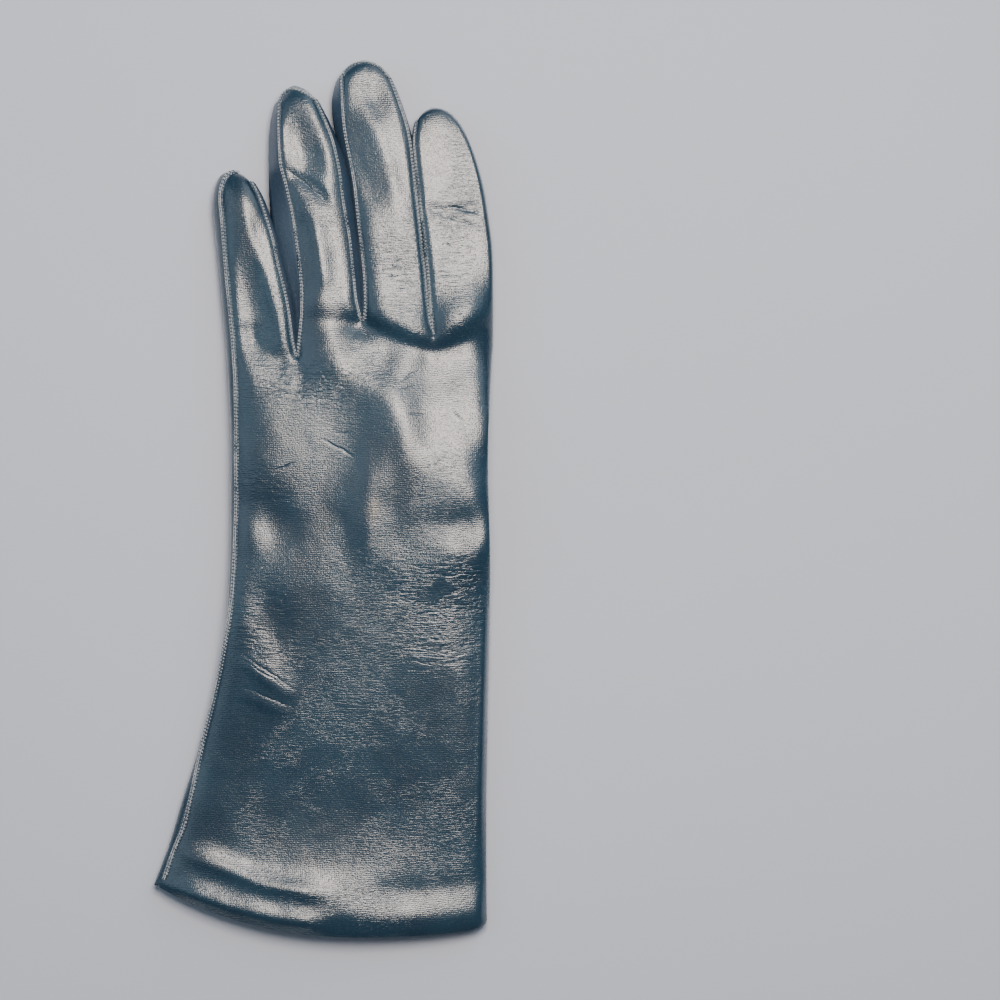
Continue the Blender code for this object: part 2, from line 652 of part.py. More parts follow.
def add_object(mesh, name, centre, look=None):
    """Puts a finished mesh into the scene, with the glove's middle at the origin."""
    mesh.transform(Matrix.Translation((-centre.x, -centre.y, 0)))
    data = bpy.data.meshes.new(name)
    mesh.to_mesh(data)
    mesh.free()
    data.shade_smooth()
    data.set_sharp_from_angle(angle=radians(SMOOTH_ANGLE))
    if look:
        data.materials.append(leather(name + "_leather", *LEATHER[look]))
    made = bpy.data.objects.new(name, data)
    bpy.context.collection.objects.link(made)
    return made


def cut_mouth(piece, cutter):
    cut = piece.modifiers.new("mouth", "BOOLEAN")
    cut.operation = "DIFFERENCE"
    cut.solver = "EXACT"
    cut.object = cutter


def middle_of(mesh):
    """The middle of the glove's outline."""
    xs = [vert.co.x for vert in mesh.verts]
    ys = [vert.co.y for vert in mesh.verts]
    return Vector(((min(xs) + max(xs)) / 2, (min(ys) + max(ys)) / 2))


def build_glove():
    for thing in list(bpy.data.objects):
        bpy.data.objects.remove(thing, do_unlink=True)
    skin = glove_skin()
    centre = middle_of(skin.mesh)
    cutter = mouth_cutter(centre)
    trank = leather_piece(skin, TRANK, "trank", centre, "trank")
    cut_mouth(trank, cutter)
    for piece, name in enumerate(FOURCHETTES, start=1):
        leather_piece(skin, piece, name, centre, "fourchette")
    skin.mesh.free()
    thumb = add_object(thumb_shell(), "thumb", centre, "thumb")
    wall = thumb.modifiers.new("wall", "SOLIDIFY")
    wall.thickness = WALL
    wall.offset = -1
    wall.use_even_offset = True
    cut_mouth(thumb, cutter)


build_glove()
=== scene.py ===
"""The looks of a leather dress glove for the left hand, lying on its palm with the thumb folded under it.

Everything is in metres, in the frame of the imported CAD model: the fingers point towards +Y, the index
finger's side is +X and the back of the hand faces +Z. Folds and seams are given in millimetres, in tables.
"""

from math import radians

import bpy
import numpy as np
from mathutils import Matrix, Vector
from mathutils.bvhtree import BVHTree
from mathutils.kdtree import KDTree


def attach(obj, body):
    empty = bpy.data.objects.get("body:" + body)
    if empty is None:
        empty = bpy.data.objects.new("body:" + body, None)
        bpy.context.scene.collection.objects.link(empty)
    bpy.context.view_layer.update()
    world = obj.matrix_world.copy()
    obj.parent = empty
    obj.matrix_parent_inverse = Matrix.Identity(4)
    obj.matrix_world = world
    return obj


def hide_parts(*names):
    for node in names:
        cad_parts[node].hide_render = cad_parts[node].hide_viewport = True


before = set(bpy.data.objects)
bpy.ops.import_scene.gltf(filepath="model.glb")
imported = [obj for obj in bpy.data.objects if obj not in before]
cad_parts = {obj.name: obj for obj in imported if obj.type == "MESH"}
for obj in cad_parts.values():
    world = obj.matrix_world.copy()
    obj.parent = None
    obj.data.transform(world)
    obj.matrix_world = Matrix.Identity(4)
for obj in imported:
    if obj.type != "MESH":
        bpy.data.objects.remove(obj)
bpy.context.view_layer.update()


# The trank: one large piece of glossy slate-blue lambskin that makes the back, the palm and the cuff. It
# is folded at the index side and open where the fourchettes and the thumb are sewn in. Its fine surface
# grows out of the CAD piece's outer skin, and its wall is put back under it at the end.
MM = 0.001
WALL = 1.1 * MM
MERGE = 0.01 * MM
QUAD_ANGLE = 60  # degrees: triangles that are flatter to each other than this become one face
RIM_ANGLE = 75  # degrees: flatter edges than this belong to the same side of the leather
SMOOTH_ANGLE = 60  # degrees: flatter edges than this are shaded smooth
LONG_EDGE = 5.6 * MM
CORNER = 40  # degrees: where an open edge turns more than this, it has a corner
GAPS_REACH = 100 * MM  # the gaps' open edges reach further along than this, and those of the mouths don't
LOW_SIDE = 4.6 * MM  # the folds of the back fade out between these two heights
HIGH_SIDE = 7.0 * MM

# Where the seams of the back run, from the fingertip to the bottom of each gap, in millimetres: first the
# left side of the gap, then the right one. The fourchettes end in points at the fingertips.
SEAM_PLACES = {
    "little_ring": (
        (
            (-24.0, 104.7), (-21.5, 100.2), (-18.9, 92.5), (-17.0, 86.5), (-15.0, 76.8), (-13.0, 69.5),
            (-11.5, 62.2), (-10.4, 52.2), (-9.2, 47.0),
        ),
        (
            (-14.6, 131.4), (-14.5, 120.5), (-14.0, 109.3), (-12.3, 104.8), (-11.3, 100.2), (-9.8, 93.8),
            (-8.8, 86.5), (-7.8, 78.8), (-6.8, 69.5), (-6.8, 62.2), (-7.5, 54.8), (-8.2, 47.0),
        ),
    ),
    "ring_middle": (
        (
            (-2.7, 132.2), (0.6, 124.8), (3.0, 119.2), (5.3, 109.3), (6.5, 98.2), (8.6, 87.2), (9.8, 76.2),
            (10.8, 65.2), (12.5, 59.0),
        ),
        (
            (6.2, 139.9), (6.6, 132.5), (6.8, 125.5), (7.8, 118.2), (9.5, 110.5), (10.8, 102.8),
            (11.9, 92.5), (13.3, 80.8), (14.2, 71.8), (14.4, 62.8), (13.7, 59.0),
        ),
    ),
    "middle_index": (
        (
            (22.0, 139.5), (25.6, 130.0), (28.6, 120.5), (29.6, 110.5), (30.6, 101.5), (31.6, 92.5),
            (32.6, 83.8), (33.6, 74.8), (34.4, 65.8), (35.6, 54.3),
        ),
        (
            (31.2, 125.0), (30.4, 119.0), (31.0, 110.5), (32.0, 101.5), (33.1, 92.5), (34.2, 83.8),
            (35.1, 74.8), (35.8, 65.8), (36.8, 54.3),
        ),
    ),
}
REACH = 3.5 * MM  # how far from a seam the leather still follows it
SEAM_LIFT = 1.0 * MM  # how much the seams along the fingers stand higher than in the CAD piece
LIFT_START = 12 * MM  # how far from its ends a seam reaches that height


def points_of(piece):
    flat = np.empty(len(piece.data.vertices) * 3)
    piece.data.vertices.foreach_get("co", flat)
    return flat.reshape(-1, 3)


def normals_of(piece):
    flat = np.empty(len(piece.data.vertices) * 3)
    piece.data.vertex_normals.foreach_get("vector", flat)
    return flat.reshape(-1, 3)


def set_points(piece, points):
    piece.data.vertices.foreach_set("co", points.ravel())
    piece.data.update()


def border_loops(piece):
    """The piece's open edges, each as a closed loop of point numbers, the longest first."""
    uses = np.zeros(len(piece.data.edges), int)
    edge_of = {edge.key: edge.index for edge in piece.data.edges}
    for face in piece.data.polygons:
        for key in face.edge_keys:
            uses[edge_of[key]] += 1
    beside = {}
    for edge in piece.data.edges:
        if uses[edge.index] == 1:
            a, b = edge.vertices
            beside.setdefault(a, []).append(b)
            beside.setdefault(b, []).append(a)
    loops = []
    while beside:
        loop = [next(iter(beside))]
        while loop[-1] in beside:
            onward = [p for p in beside.pop(loop[-1]) if p in beside]
            if not onward:
                break
            loop.append(onward[0])
        loops.append(loop)
    return sorted(loops, key=len, reverse=True)


def fingers_gaps(piece):
    """The open edges of the three gaps between the fingers, from the little finger's side."""
    points = points_of(piece)
    gaps = [loop for loop in border_loops(piece) if points[loop, 1].max() > GAPS_REACH]
    return sorted(gaps, key=lambda loop: points[loop, 0].mean())


def seam_moves(piece):
    """The points of the back's open edges, and how far aside and up each moves into its seam's place."""
    points = points_of(piece)
    ends, moves, lifts = [], [], []
    for loop, lines in zip(fingers_gaps(piece), SEAM_PLACES.values()):
        high = [k for k, i in enumerate(loop) if points[i, 2] > HIGH_SIDE]
        lowest = min(high, key=lambda k: points[loop[k], 1])
        sides = []
        for step in (1, -1):
            k = lowest if step == 1 else lowest - 1
            side = []
            while points[loop[k % len(loop)], 2] > HIGH_SIDE:
                side.append(loop[k % len(loop)])
                k += step
            sides.append(side)
        for side, line in zip(sorted(sides, key=lambda side: points[side, 0].mean()), lines):
            across, along = np.array(line[::-1]).T * MM
            ends.extend(points[side])
            moves.extend(np.interp(points[side, 1], along, across) - points[side, 0])
            from_ends = np.minimum(points[side, 1] - along[0], along[-1] - points[side, 1])
            lifts.extend(SEAM_LIFT * np.clip(from_ends / LIFT_START, 0, 1))
    return np.array(ends), np.array(moves), np.array(lifts)


def tree_of(points):
    """A search tree of points, numbered in their order."""
    tree = KDTree(len(points))
    for i, point in enumerate(points):
        tree.insert(point, i)
    tree.balance()
    return tree


def above(points, low, high):
    """A share for each point: 0 below the one height and 1 above the other."""
    return np.clip((points[:, 2] - low) / (high - low), 0, 1)


def follow_seams(piece, ends, moves, lifts):
    """Moves the upper side of a piece with the seams near it."""
    points = points_of(piece)
    seams = tree_of(ends * (1, 1, 0))
    raised = above(points, LOW_SIDE, HIGH_SIDE)
    for i, (x, y, _) in enumerate(points):
        _, nearest, distance = seams.find((x, y, 0))
        share = raised[i] * np.exp(-((distance / REACH) ** 2))
        points[i, 0] += moves[nearest] * share
        points[i, 2] += lifts[nearest] * share
    set_points(piece, points)


def new_object(name, data):
    """A new object in the scene, with the given mesh, light or camera."""
    made = bpy.data.objects.new(name, data)
    bpy.context.scene.collection.objects.link(made)
    return made


def select_only(piece):
    bpy.ops.object.select_all(action="DESELECT")
    piece.select_set(True)
    bpy.context.view_layer.objects.active = piece


def shade_smooth(piece):
    select_only(piece)
    bpy.ops.object.shade_smooth_by_angle(angle=radians(SMOOTH_ANGLE))


def copy_of_node(node, name):
    """A piece of its own with a CAD node's mesh, its loose triangles merged."""
    piece = new_object(name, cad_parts[node].data.copy())
    select_only(piece)
    bpy.ops.object.mode_set(mode="EDIT")
    bpy.ops.mesh.select_mode(type="FACE")
    bpy.ops.mesh.select_all(action="SELECT")
    bpy.ops.mesh.remove_doubles(threshold=MERGE)
    flat = radians(QUAD_ANGLE)
    bpy.ops.mesh.tris_convert_to_quads(face_threshold=flat, shape_threshold=flat)
    bpy.ops.mesh.select_all(action="DESELECT")
    bpy.ops.object.mode_set(mode="OBJECT")
    return piece


def keep_outer_skin(piece):
    """Leaves only the side of the leather that faces out: all that joins the topmost face without a rim."""
    faces = piece.data.polygons
    topmost = max(range(len(faces)), key=lambda i: faces[i].center.z)
    faces[topmost].select = True
    bpy.ops.object.mode_set(mode="EDIT")
    bpy.ops.mesh.faces_select_linked_flat(sharpness=radians(RIM_ANGLE))
    bpy.ops.mesh.select_all(action="INVERT")
    bpy.ops.mesh.delete(type="FACE")
    bpy.ops.object.mode_set(mode="OBJECT")


def split_long_edges(piece, longest):
    """Cuts in two each edge along the hand that is longer than a given length, and the faces beside it."""
    points = [v.co for v in piece.data.vertices]
    for edge in piece.data.edges:
        way = points[edge.vertices[0]] - points[edge.vertices[1]]
        edge.select = way.length > longest and abs(way.y) > abs(way.x)
    bpy.ops.object.mode_set(mode="EDIT")
    bpy.ops.mesh.select_mode(type="EDGE")
    bpy.ops.mesh.subdivide(number_cuts=1)
    bpy.ops.mesh.select_mode(type="FACE")
    bpy.ops.mesh.select_all(action="DESELECT")
    bpy.ops.object.mode_set(mode="OBJECT")


def subdivide(piece, levels):
    """Rounds the piece's faces off into a smooth surface."""
    smooth = piece.modifiers.new("fine_surface", "SUBSURF")
    smooth.levels = smooth.render_levels = levels
    select_only(piece)
    bpy.ops.object.modifier_apply(modifier=smooth.name)


def keep_corners(piece):
    """Marks the corners of the gaps' open edges, so that subdividing the piece doesn't round them away."""
    points = points_of(piece)
    corners = np.zeros(len(points))
    for loop in fingers_gaps(piece):
        ways = points[np.roll(loop, -1)] - points[loop]
        ways /= np.linalg.norm(ways, axis=1)[:, None]
        straight = (ways * np.roll(ways, 1, axis=0)).sum(axis=1)
        corners[np.array(loop)[straight < np.cos(radians(CORNER))]] = 1
    mark = piece.data.attributes.new("crease_vert", "FLOAT", "POINT")
    mark.data.foreach_set("value", corners)


EDGE_MARGIN = 1.0 * MM  # how near to its open edges the flat patches fade out
PATCH_LOW = 5.2 * MM  # the patches fade out on the sides between these two heights
PATCH_HIGH = 7.6 * MM
PATCH_STEEPEST = -0.25  # the normal's height past which the leather faces down too much to be in a patch
FOLD_STEEPEST = -0.375  # the same for the folds
FACING_FADE = 0.25  # over how much of the normal's height both fade out
BELOW_GAP = 0.9  # how much wider the share between two fingers gets with each millimetre below their gap
AT_GAP = 0.05  # half how wide it is at the bottom of the gap, in millimetres

# Patches of the back where the soft leather lies nearly flat, in millimetres: the middle, half the length
# and half the width, the turn in degrees of the length from the direction across the hand, how many degrees
# the patch leans to the index finger's side and away from the cuff, and how sharply it ends. Rows of one
# name lie in one plane.
PATCHES = (
    # name, x, y, half_length, half_width, turn, right, away, edge
    ("cuff", 9.0, -71.0, 47.0, 52.0, 0, -1, -4, 3),
    ("cuff_light", -18.0, -49.0, 16.0, 6.5, 96, 1, 3, 1),
    ("hem", 31.0, -134.5, 31.0, 7.4, 1, 4, 9.8, 1.5),
    ("hand_back", -4.0, 20.0, 26.0, 24.0, 0, 0, 1, 1.5),
    ("index_pad", 43.5, 97.0, 37.0, 16.5, 97, 3, 2, 3),
    ("middle_low", 25.0, 76.0, 22.0, 12.0, 98, 1, 0, 1.5),
    ("middle_right", 26.0, 114.0, 22.0, 6.0, 99, 4.5, 2, 1.2),
    ("middle_tip", 14.0, 135.5, 8.5, 9.5, 0, 5, 3, 1.5),
    ("middle_dark", 15.0, 114.0, 17.0, 5.2, 107, -9, -1, 1.5),
    ("ring_low", 2.0, 80.0, 20.0, 6.4, 100, 7, 2, 1.2),
    ("ring_dark", -5.5, 120.0, 14.0, 6.0, 100, -6, -4, 1.5),
    ("ring_left", -12.4, 118.5, 8.0, 2.6, 92, 6, 1, 1.5),
    ("little_dark", -24.0, 75.0, 26.0, 6.5, 99, -5, -5, 1.5),
    ("little_edge", -16.6, 72.5, 23.0, 3.0, 104, 7, 4, 1.7),
    ("knuckles", 43.0, 30.0, 22.0, 16.5, 105, 3, 5.5, 2),
    ("knuckles", 15.0, 46.5, 12.0, 8.5, 162, 3, 5.5, 1.5),
    ("below_knuckles", 33.0, -8.0, 22.0, 17.0, 0, -2, -3.5, 2),
    ("wrist", 46.0, -13.0, 11.0, 7.5, 14, 0, 5, 1.2),
    ("little_side", -19.5, -11.5, 9.0, 9.0, 0, 3, 4, 1),
)

# Folds that run along a line, in millimetres: the height, or the depth where it is negative, half the width
# to the left and to the right of the line's direction, and the points of the line.
FOLD_EASE = 0.22  # the share of its line over which a fold rises at either end
FOLDS = (
    (
        "knuckle_valley", -1.8, 4.2, 13.0,
        ((2.0, 58.6), (7.5, 57.9), (13.5, 56.6), (18.5, 53.3), (28.5, 49.5), (36.2, 47.9), (41.0, 48.5),
         (46.2, 50.9), (55.2, 55.4), (64.0, 60.0)),
    ),
    (
        "knuckle_lip", 1.5, 10.0, 4.8,
        ((4.0, 64.0), (14.2, 61.8), (20.2, 58.6), (29.8, 54.8), (37.8, 53.1), (44.8, 56.6), (53.5, 61.2),
         (62.0, 65.8)),
    ),
    ("ring_valley", -0.6, 3.0, 8.0, ((-9.0, 58.4), (-2.8, 58.2), (2.2, 57.8), (7.2, 57.0), (14.5, 54.5))),
    ("little_valley", -0.7, 3.4, 6.0, ((-25.2, 59.8), (-23.2, 51.5), (-16.5, 45.2), (-8.5, 43.5))),
    ("ring_crease", -0.8, 1.3, 2.6, ((-12.8, 109.5), (-8.5, 106.8), (-2.5, 103.2), (3.2, 96.5))),
    ("ring_groove", -0.7, 2.2, 1.8, ((-7.2, 96.5), (-5.5, 82.5), (-2.8, 65.2))),
    ("ring_lower_ridge", 0.5, 3.6, 1.8, ((-3.8, 95.2), (-1.2, 82.5), (1.5, 67.2))),
    ("index_crease", -0.5, 1.3, 1.6, ((32.5, 97.2), (40.5, 94.8), (48.2, 96.5), (54.5, 97.8))),
    ("hand_hollow", -0.12, 3.0, 3.0, ((22.8, 29.2), (24.2, 9.2), (24.8, -20.8))),
    ("hand_strip", 0.12, 3.0, 2.2, ((14.2, 25.8), (14.8, 2.5), (16.2, -25.8))),
    ("diagonal_ridge", 0.32, 3.4, 1.8, ((-29.2, -52.5), (-20.5, -59.5), (-7.8, -68.2))),
    ("diagonal_ridge_2", 0.22, 2.6, 1.4, ((-29.2, -64.8), (-20.5, -68.2), (-8.2, -72.8))),
    (
        "hem_top", 0.95, 3.6, 2.8,
        ((-50.5, -116.2), (-41.2, -120.2), (-31.2, -123.8), (-20.5, -128.0), (5.5, -133.0)),
    ),
    (
        "hem_bottom", 1.7, 3.8, 2.0,
        ((-54.5, -127.2), (-44.0, -131.6), (-31.0, -136.2), (-16.0, -140.0), (5.5, -142.8)),
    ),
    (
        "index_side_shoulder", 0.5, 5.0, 1.6,
        ((53.8, -20.0), (53.8, -34.0), (53.4, -61.0), (52.8, -87.0), (52.4, -120.0)),
    ),
)


def own_finger(points, x, y):
    """Which points belong to the same finger as a place: all of it, and less and less below the gaps."""
    share = np.ones(len(points))
    along = (y, *points[:, 1] / MM)
    for left, right in SEAM_PLACES.values():
        sides = [np.interp(along, *np.array(line[::-1]).T[::-1]) for line in (left, right)]
        middle = (sides[0] + sides[1]) / 2
        bottom = left[-1][1]
        if y > bottom:
            inside = (points[:, 0] / MM - middle[1:]) * np.sign(x - middle[0])
            blend = np.clip(bottom - points[:, 1] / MM, 0, None) * BELOW_GAP + AT_GAP
            share *= np.clip(0.5 + inside / (2 * blend), 0, 1)
    return share


def faces_up(piece, steepest):
    """A share for each point: 1 where it faces up or aside, and 0 where it faces down past a given slope."""
    return np.clip((normals_of(piece)[:, 2] - steepest) / FACING_FADE, 0, 1)


def eased(share):
    """The same share, but with no sudden start or end."""
    return share * share * (3 - 2 * share)


def tilt_patches(piece):
    """Flattens the patches of the back and gives each its lean, without moving the piece's open edges."""
    points = points_of(piece)
    edge = tree_of(points[np.concatenate(fingers_gaps(piece))])
    from_edge = np.array([edge.find(point)[2] for point in points])
    free = faces_up(piece, PATCH_STEEPEST) * eased(above(points, PATCH_LOW, PATCH_HIGH))
    free *= np.clip(from_edge / EDGE_MARGIN, 0, 1)
    planes = {}
    for name, x, y, half_length, half_width, turn, right, away, sharp in PATCHES:
        cosine, sine = np.cos(radians(turn)), np.sin(radians(turn))
        aside, ahead = points[:, 0] - x * MM, points[:, 1] - y * MM
        u = (aside * cosine + ahead * sine) / (half_length * MM)
        v = (ahead * cosine - aside * sine) / (half_width * MM)
        share = np.exp(-((u * u) ** sharp) - (v * v) ** sharp) * free * own_finger(points, x, y)
        lean = points[:, 0] * np.tan(radians(right)) + points[:, 1] * np.tan(radians(away))
        level = planes.setdefault(name, (share * (points[:, 2] + lean)).sum() / share.sum())
        points[:, 2] += share * (level - lean - points[:, 2])
    set_points(piece, points)


def run_along(line):
    """How far each point of a line lies from its start, along the line."""
    return np.concatenate([[0], np.cumsum(np.linalg.norm(np.diff(line, axis=0), axis=1))])


def beside_line(across, along, line):
    """How far each place lies from a line of points, in millimetres and positive on its left, and its share
    of the way along the line."""
    places = np.stack([across, along], 1) / MM
    line = np.array(line, float)
    starts = run_along(line)
    nearest = np.full(len(places), np.inf)
    side = np.ones(len(places))
    share = np.zeros(len(places))
    for i, length in enumerate(np.diff(starts)):
        way = (line[i + 1] - line[i]) / length
        from_start = places - line[i]
        run = np.clip(from_start @ way, 0, length)
        away = np.linalg.norm(from_start - run[:, None] * way, axis=1)
        closer = away < nearest
        nearest[closer] = away[closer]
        side[closer] = np.sign(way[0] * from_start[closer, 1] - way[1] * from_start[closer, 0])
        share[closer] = (starts[i] + run[closer]) / starts[-1]
    return nearest * side, share


def fold(across, along):
    """How far the line folds raise or press in the leather at each place, in metres."""
    height = np.zeros(len(across))
    for _, rise, half_left, half_right, line in FOLDS:
        away, share = beside_line(across, along, line)
        half_width = np.where(away > 0, half_left, half_right)
        fade = eased(np.clip(np.minimum(share, 1 - share) / FOLD_EASE, 0, 1))
        height += rise * MM * fade * np.exp(-((away / half_width) ** 2))
    return height


def shape_back(piece):
    """Presses the folds of the back into a piece, and leaves what lies low on its sides or under it."""
    points = points_of(piece)
    raised = above(points, LOW_SIDE, HIGH_SIDE) * faces_up(piece, FOLD_STEEPEST)
    points[:, 2] += fold(points[:, 0], points[:, 1]) * raised
    set_points(piece, points)


HEM_CURL = 2.3 * MM  # how far from its edge the turned-in leather starts to round off
HEM_DROP = 0.75 * MM  # how far it rounds off
HEM_CORNER = (50.4, -138.4)  # millimetres: the middle of the rounding at the hem's corner on the index side
HEM_ROUND = 5.2 * MM  # its radius

trank = copy_of_node("trank", "trank_leather")
keep_outer_skin(trank)
split_long_edges(trank, LONG_EDGE)
seam_shifts = seam_moves(trank)
follow_seams(trank, *seam_shifts)
keep_corners(trank)
subdivide(trank, 2)
tilt_patches(trank)
shape_back(trank)
trank_borders = border_loops(trank)
trank_gaps = fingers_gaps(trank)

# The hem's edge rolls inwards, as leather does where it is turned in
points = points_of(trank)
hem = min(trank_borders, key=lambda loop: points[loop, 1].mean())
hem_tree = tree_of(points[hem])
middle_height = points[hem, 2].mean()
corner = points[:, :2] - np.array(HEM_CORNER) * MM
beyond = np.linalg.norm(corner, axis=1)
outside = (corner[:, 0] > 0) & (corner[:, 1] < 0) & (beyond > HEM_ROUND)
points[outside, :2] -= corner[outside] * (1 - HEM_ROUND / beyond[outside])[:, None]
for i in np.flatnonzero(points[:, 1] < points[hem, 1].max() + HEM_CURL):
    depth = 1 - hem_tree.find(points[i])[2] / HEM_CURL
    if depth > 0:
        points[i, 2] += np.sign(middle_height - points[i, 2]) * HEM_DROP * depth**2
set_points(trank, points)

wall = trank.modifiers.new("wall", "SOLIDIFY")
wall.thickness = WALL
wall.offset = -1
wall.material_offset = 1
wall.material_offset_rim = 0
select_only(trank)
outer_points = points_of(trank)
outer_normals = normals_of(trank)
bpy.ops.object.modifier_apply(modifier=wall.name)
shade_smooth(trank)


def join(node, sockets):
    """Joins a node's sockets to those of other nodes, or sets their values."""
    for name, value in sockets.items():
        if isinstance(value, bpy.types.NodeSocket):
            node.id_data.links.new(value, node.inputs[name])
        else:
            node.inputs[name].default_value = value


def node_maker(tree):
    """A function that adds nodes to one node tree, with their sockets joined up or set."""

    def make(kind, sockets=None, **settings):
        made = tree.nodes.new(kind)
        for name, value in settings.items():
            setattr(made, name, value)
        join(made, sockets or {})
        return made

    return make


def maths(make, operation, *values):
    """A Math node's result."""
    return make("ShaderNodeMath", dict(enumerate(values)), operation=operation).outputs[0]


def noise(make, place, scale, detail, output="Fac", **more):
    """A Noise Texture node's result: a number, or three of them as its Color."""
    sockets = {"Vector": place, "Scale": scale, "Detail": detail, **more}
    return make("ShaderNodeTexNoise", sockets).outputs[output]


def vectors(make, operation, first, second):
    """A Vector Math node's result: a vector, or a number for a distance or a dot product."""
    sockets = {0: first, 3 if operation == "SCALE" else 1: second}
    made = make("ShaderNodeVectorMath", sockets, operation=operation)
    return made.outputs["Value" if operation in ("DISTANCE", "DOT_PRODUCT") else "Vector"]


def between(make, value, low, high, first=0.0, last=1.0, kind="LINEAR"):
    """A Map Range node's result: first where the value is low, and last where it is high."""
    sockets = {0: value, 1: low, 2: high, 3: first, 4: last}
    return make("ShaderNodeMapRange", sockets, interpolation_type=kind).outputs[0]


def mixed(make, share, first, second):
    """A Mix node's result: the first colour where the share is 0, and the second where it is 1."""
    return make("ShaderNodeMix", {0: share, 6: first, 7: second}, data_type="RGBA").outputs[2]


SOCKET_KINDS = {1: "NodeSocketFloat", 3: "NodeSocketVector", 4: "NodeSocketColor"}  # by how many numbers


def new_group(name, inputs, outputs):
    """An empty node group that takes a Coordinate and the given inputs, which have usual values. Returns the
    group, its input sockets and its output node."""
    group = bpy.data.node_groups.new(name, "ShaderNodeTree")
    sockets = group.interface
    sockets.new_socket("Coordinate", in_out="INPUT", socket_type=SOCKET_KINDS[3])
    for socket_name, value in inputs.items():
        kind = SOCKET_KINDS[np.size(value)]
        sockets.new_socket(socket_name, in_out="INPUT", socket_type=kind).default_value = value
    for socket_name in outputs:
        kind = SOCKET_KINDS[4 if socket_name == "Color" else 1]
        sockets.new_socket(socket_name, in_out="OUTPUT", socket_type=kind)
    given = group.nodes.new("NodeGroupInput")
    return group, given.outputs, group.nodes.new("NodeGroupOutput")


# Grain: the pebbles between the pores of lambskin
PEBBLE_WAVER = 0.6 * MM  # how far from round the pebbles are
PEBBLE_FALL = -0.8  # how steeply the height falls off from a pebble's middle
FINE_SHARE = 0.5  # how much finer roughness lies over the pebbles
grain, given, result = new_group("leather_grain", {"Cells per Metre": 1500.0}, ("Height",))
make = node_maker(grain)
warp = noise(make, given["Coordinate"], scale=700.0, detail=2.0, output="Color")
bent = vectors(make, "ADD", given["Coordinate"], vectors(make, "SCALE", warp, PEBBLE_WAVER))
cells = make("ShaderNodeTexVoronoi", {"Vector": bent, "Scale": given["Cells per Metre"]}, feature="F1")
fine = noise(make, given["Coordinate"], scale=3200.0, detail=3.0)
pebble = maths(make, "MULTIPLY", cells.outputs["Distance"], PEBBLE_FALL)
join(result, {"Height": maths(make, "MULTIPLY_ADD", fine, FINE_SHARE, pebble)})

# Fine wrinkles: short lines side by side that run across the hand
LINE_WIDTH = 0.22  # how near to its middle value the noise makes a line
NO_COVER = 0.62  # the noise above which patches are wrinkled where Cover is 0
COVER_REACH = 0.3  # how much lower that is where Cover is 1
COVER_FADE = 0.12  # over how much of the noise the patches fade in
wrinkles, given, result = new_group(
    "fine_wrinkles", {"Length": 0.004, "Spacing": 0.0007, "Patch Size": 0.02, "Cover": 0.5}, ("Height",)
)
make = node_maker(wrinkles)
per_length = maths(make, "DIVIDE", 1.0, given["Length"])
per_spacing = maths(make, "DIVIDE", 1.0, given["Spacing"])
stretch = make("ShaderNodeCombineXYZ", {0: per_length, 1: per_spacing, 2: per_spacing})
placed = vectors(make, "MULTIPLY", given["Coordinate"], stretch.outputs[0])
lines = noise(make, placed, scale=1.0, detail=3.0, Distortion=0.35)
from_middle = maths(make, "ABSOLUTE", maths(make, "MULTIPLY_ADD", lines, 2.0, -1.0))
groove = between(make, from_middle, 0.0, LINE_WIDTH, -1.0, 0.0, "SMOOTHSTEP")
patch_scale = maths(make, "DIVIDE", 1.0, given["Patch Size"])
patches = noise(make, given["Coordinate"], scale=patch_scale, detail=2.0)
low = maths(make, "SUBTRACT", NO_COVER, maths(make, "MULTIPLY", given["Cover"], COVER_REACH))
mask = between(make, patches, low, maths(make, "ADD", low, COVER_FADE))
join(result, {"Height": maths(make, "MULTIPLY", groove, mask)})

# Soft dents: the shallow hollows that worn leather keeps, a little longer along the hand than across
DENT_SHAPE = (1.25, 0.9, 1.0)
dents, given, result = new_group("soft_dents", {"Size": 0.01}, ("Height",))
make = node_maker(dents)
flat = vectors(make, "MULTIPLY", given["Coordinate"], DENT_SHAPE)
per_size = maths(make, "DIVIDE", 1.0, given["Size"])
join(result, {"Height": noise(make, flat, scale=per_size, detail=1.0, Roughness=0.4)})

# Woven print: the threads of the backing cloth, which show faintly through thin leather
FULL_TURN = 6.283
THREAD_WAVER = 1.6 * MM  # how far the threads stray from straight
WARP_SHARE = 0.45  # how much of the threads along the hand shows, next to those across it
woven, given, result = new_group("woven_print", {"Spacing": 0.0006}, ("Height",))
make = node_maker(woven)
per_spacing = maths(make, "DIVIDE", FULL_TURN, given["Spacing"])
jitter = noise(make, given["Coordinate"], scale=260.0, detail=3.0, output="Color")
moved = vectors(make, "ADD", given["Coordinate"], vectors(make, "SCALE", jitter, THREAD_WAVER))
parts = make("ShaderNodeSeparateXYZ", {0: moved})
weft = maths(make, "SINE", maths(make, "MULTIPLY", parts.outputs[1], per_spacing))
warp = maths(make, "SINE", maths(make, "MULTIPLY", parts.outputs[0], per_spacing))
join(result, {"Height": maths(make, "MULTIPLY_ADD", warp, WARP_SHARE, weft)})

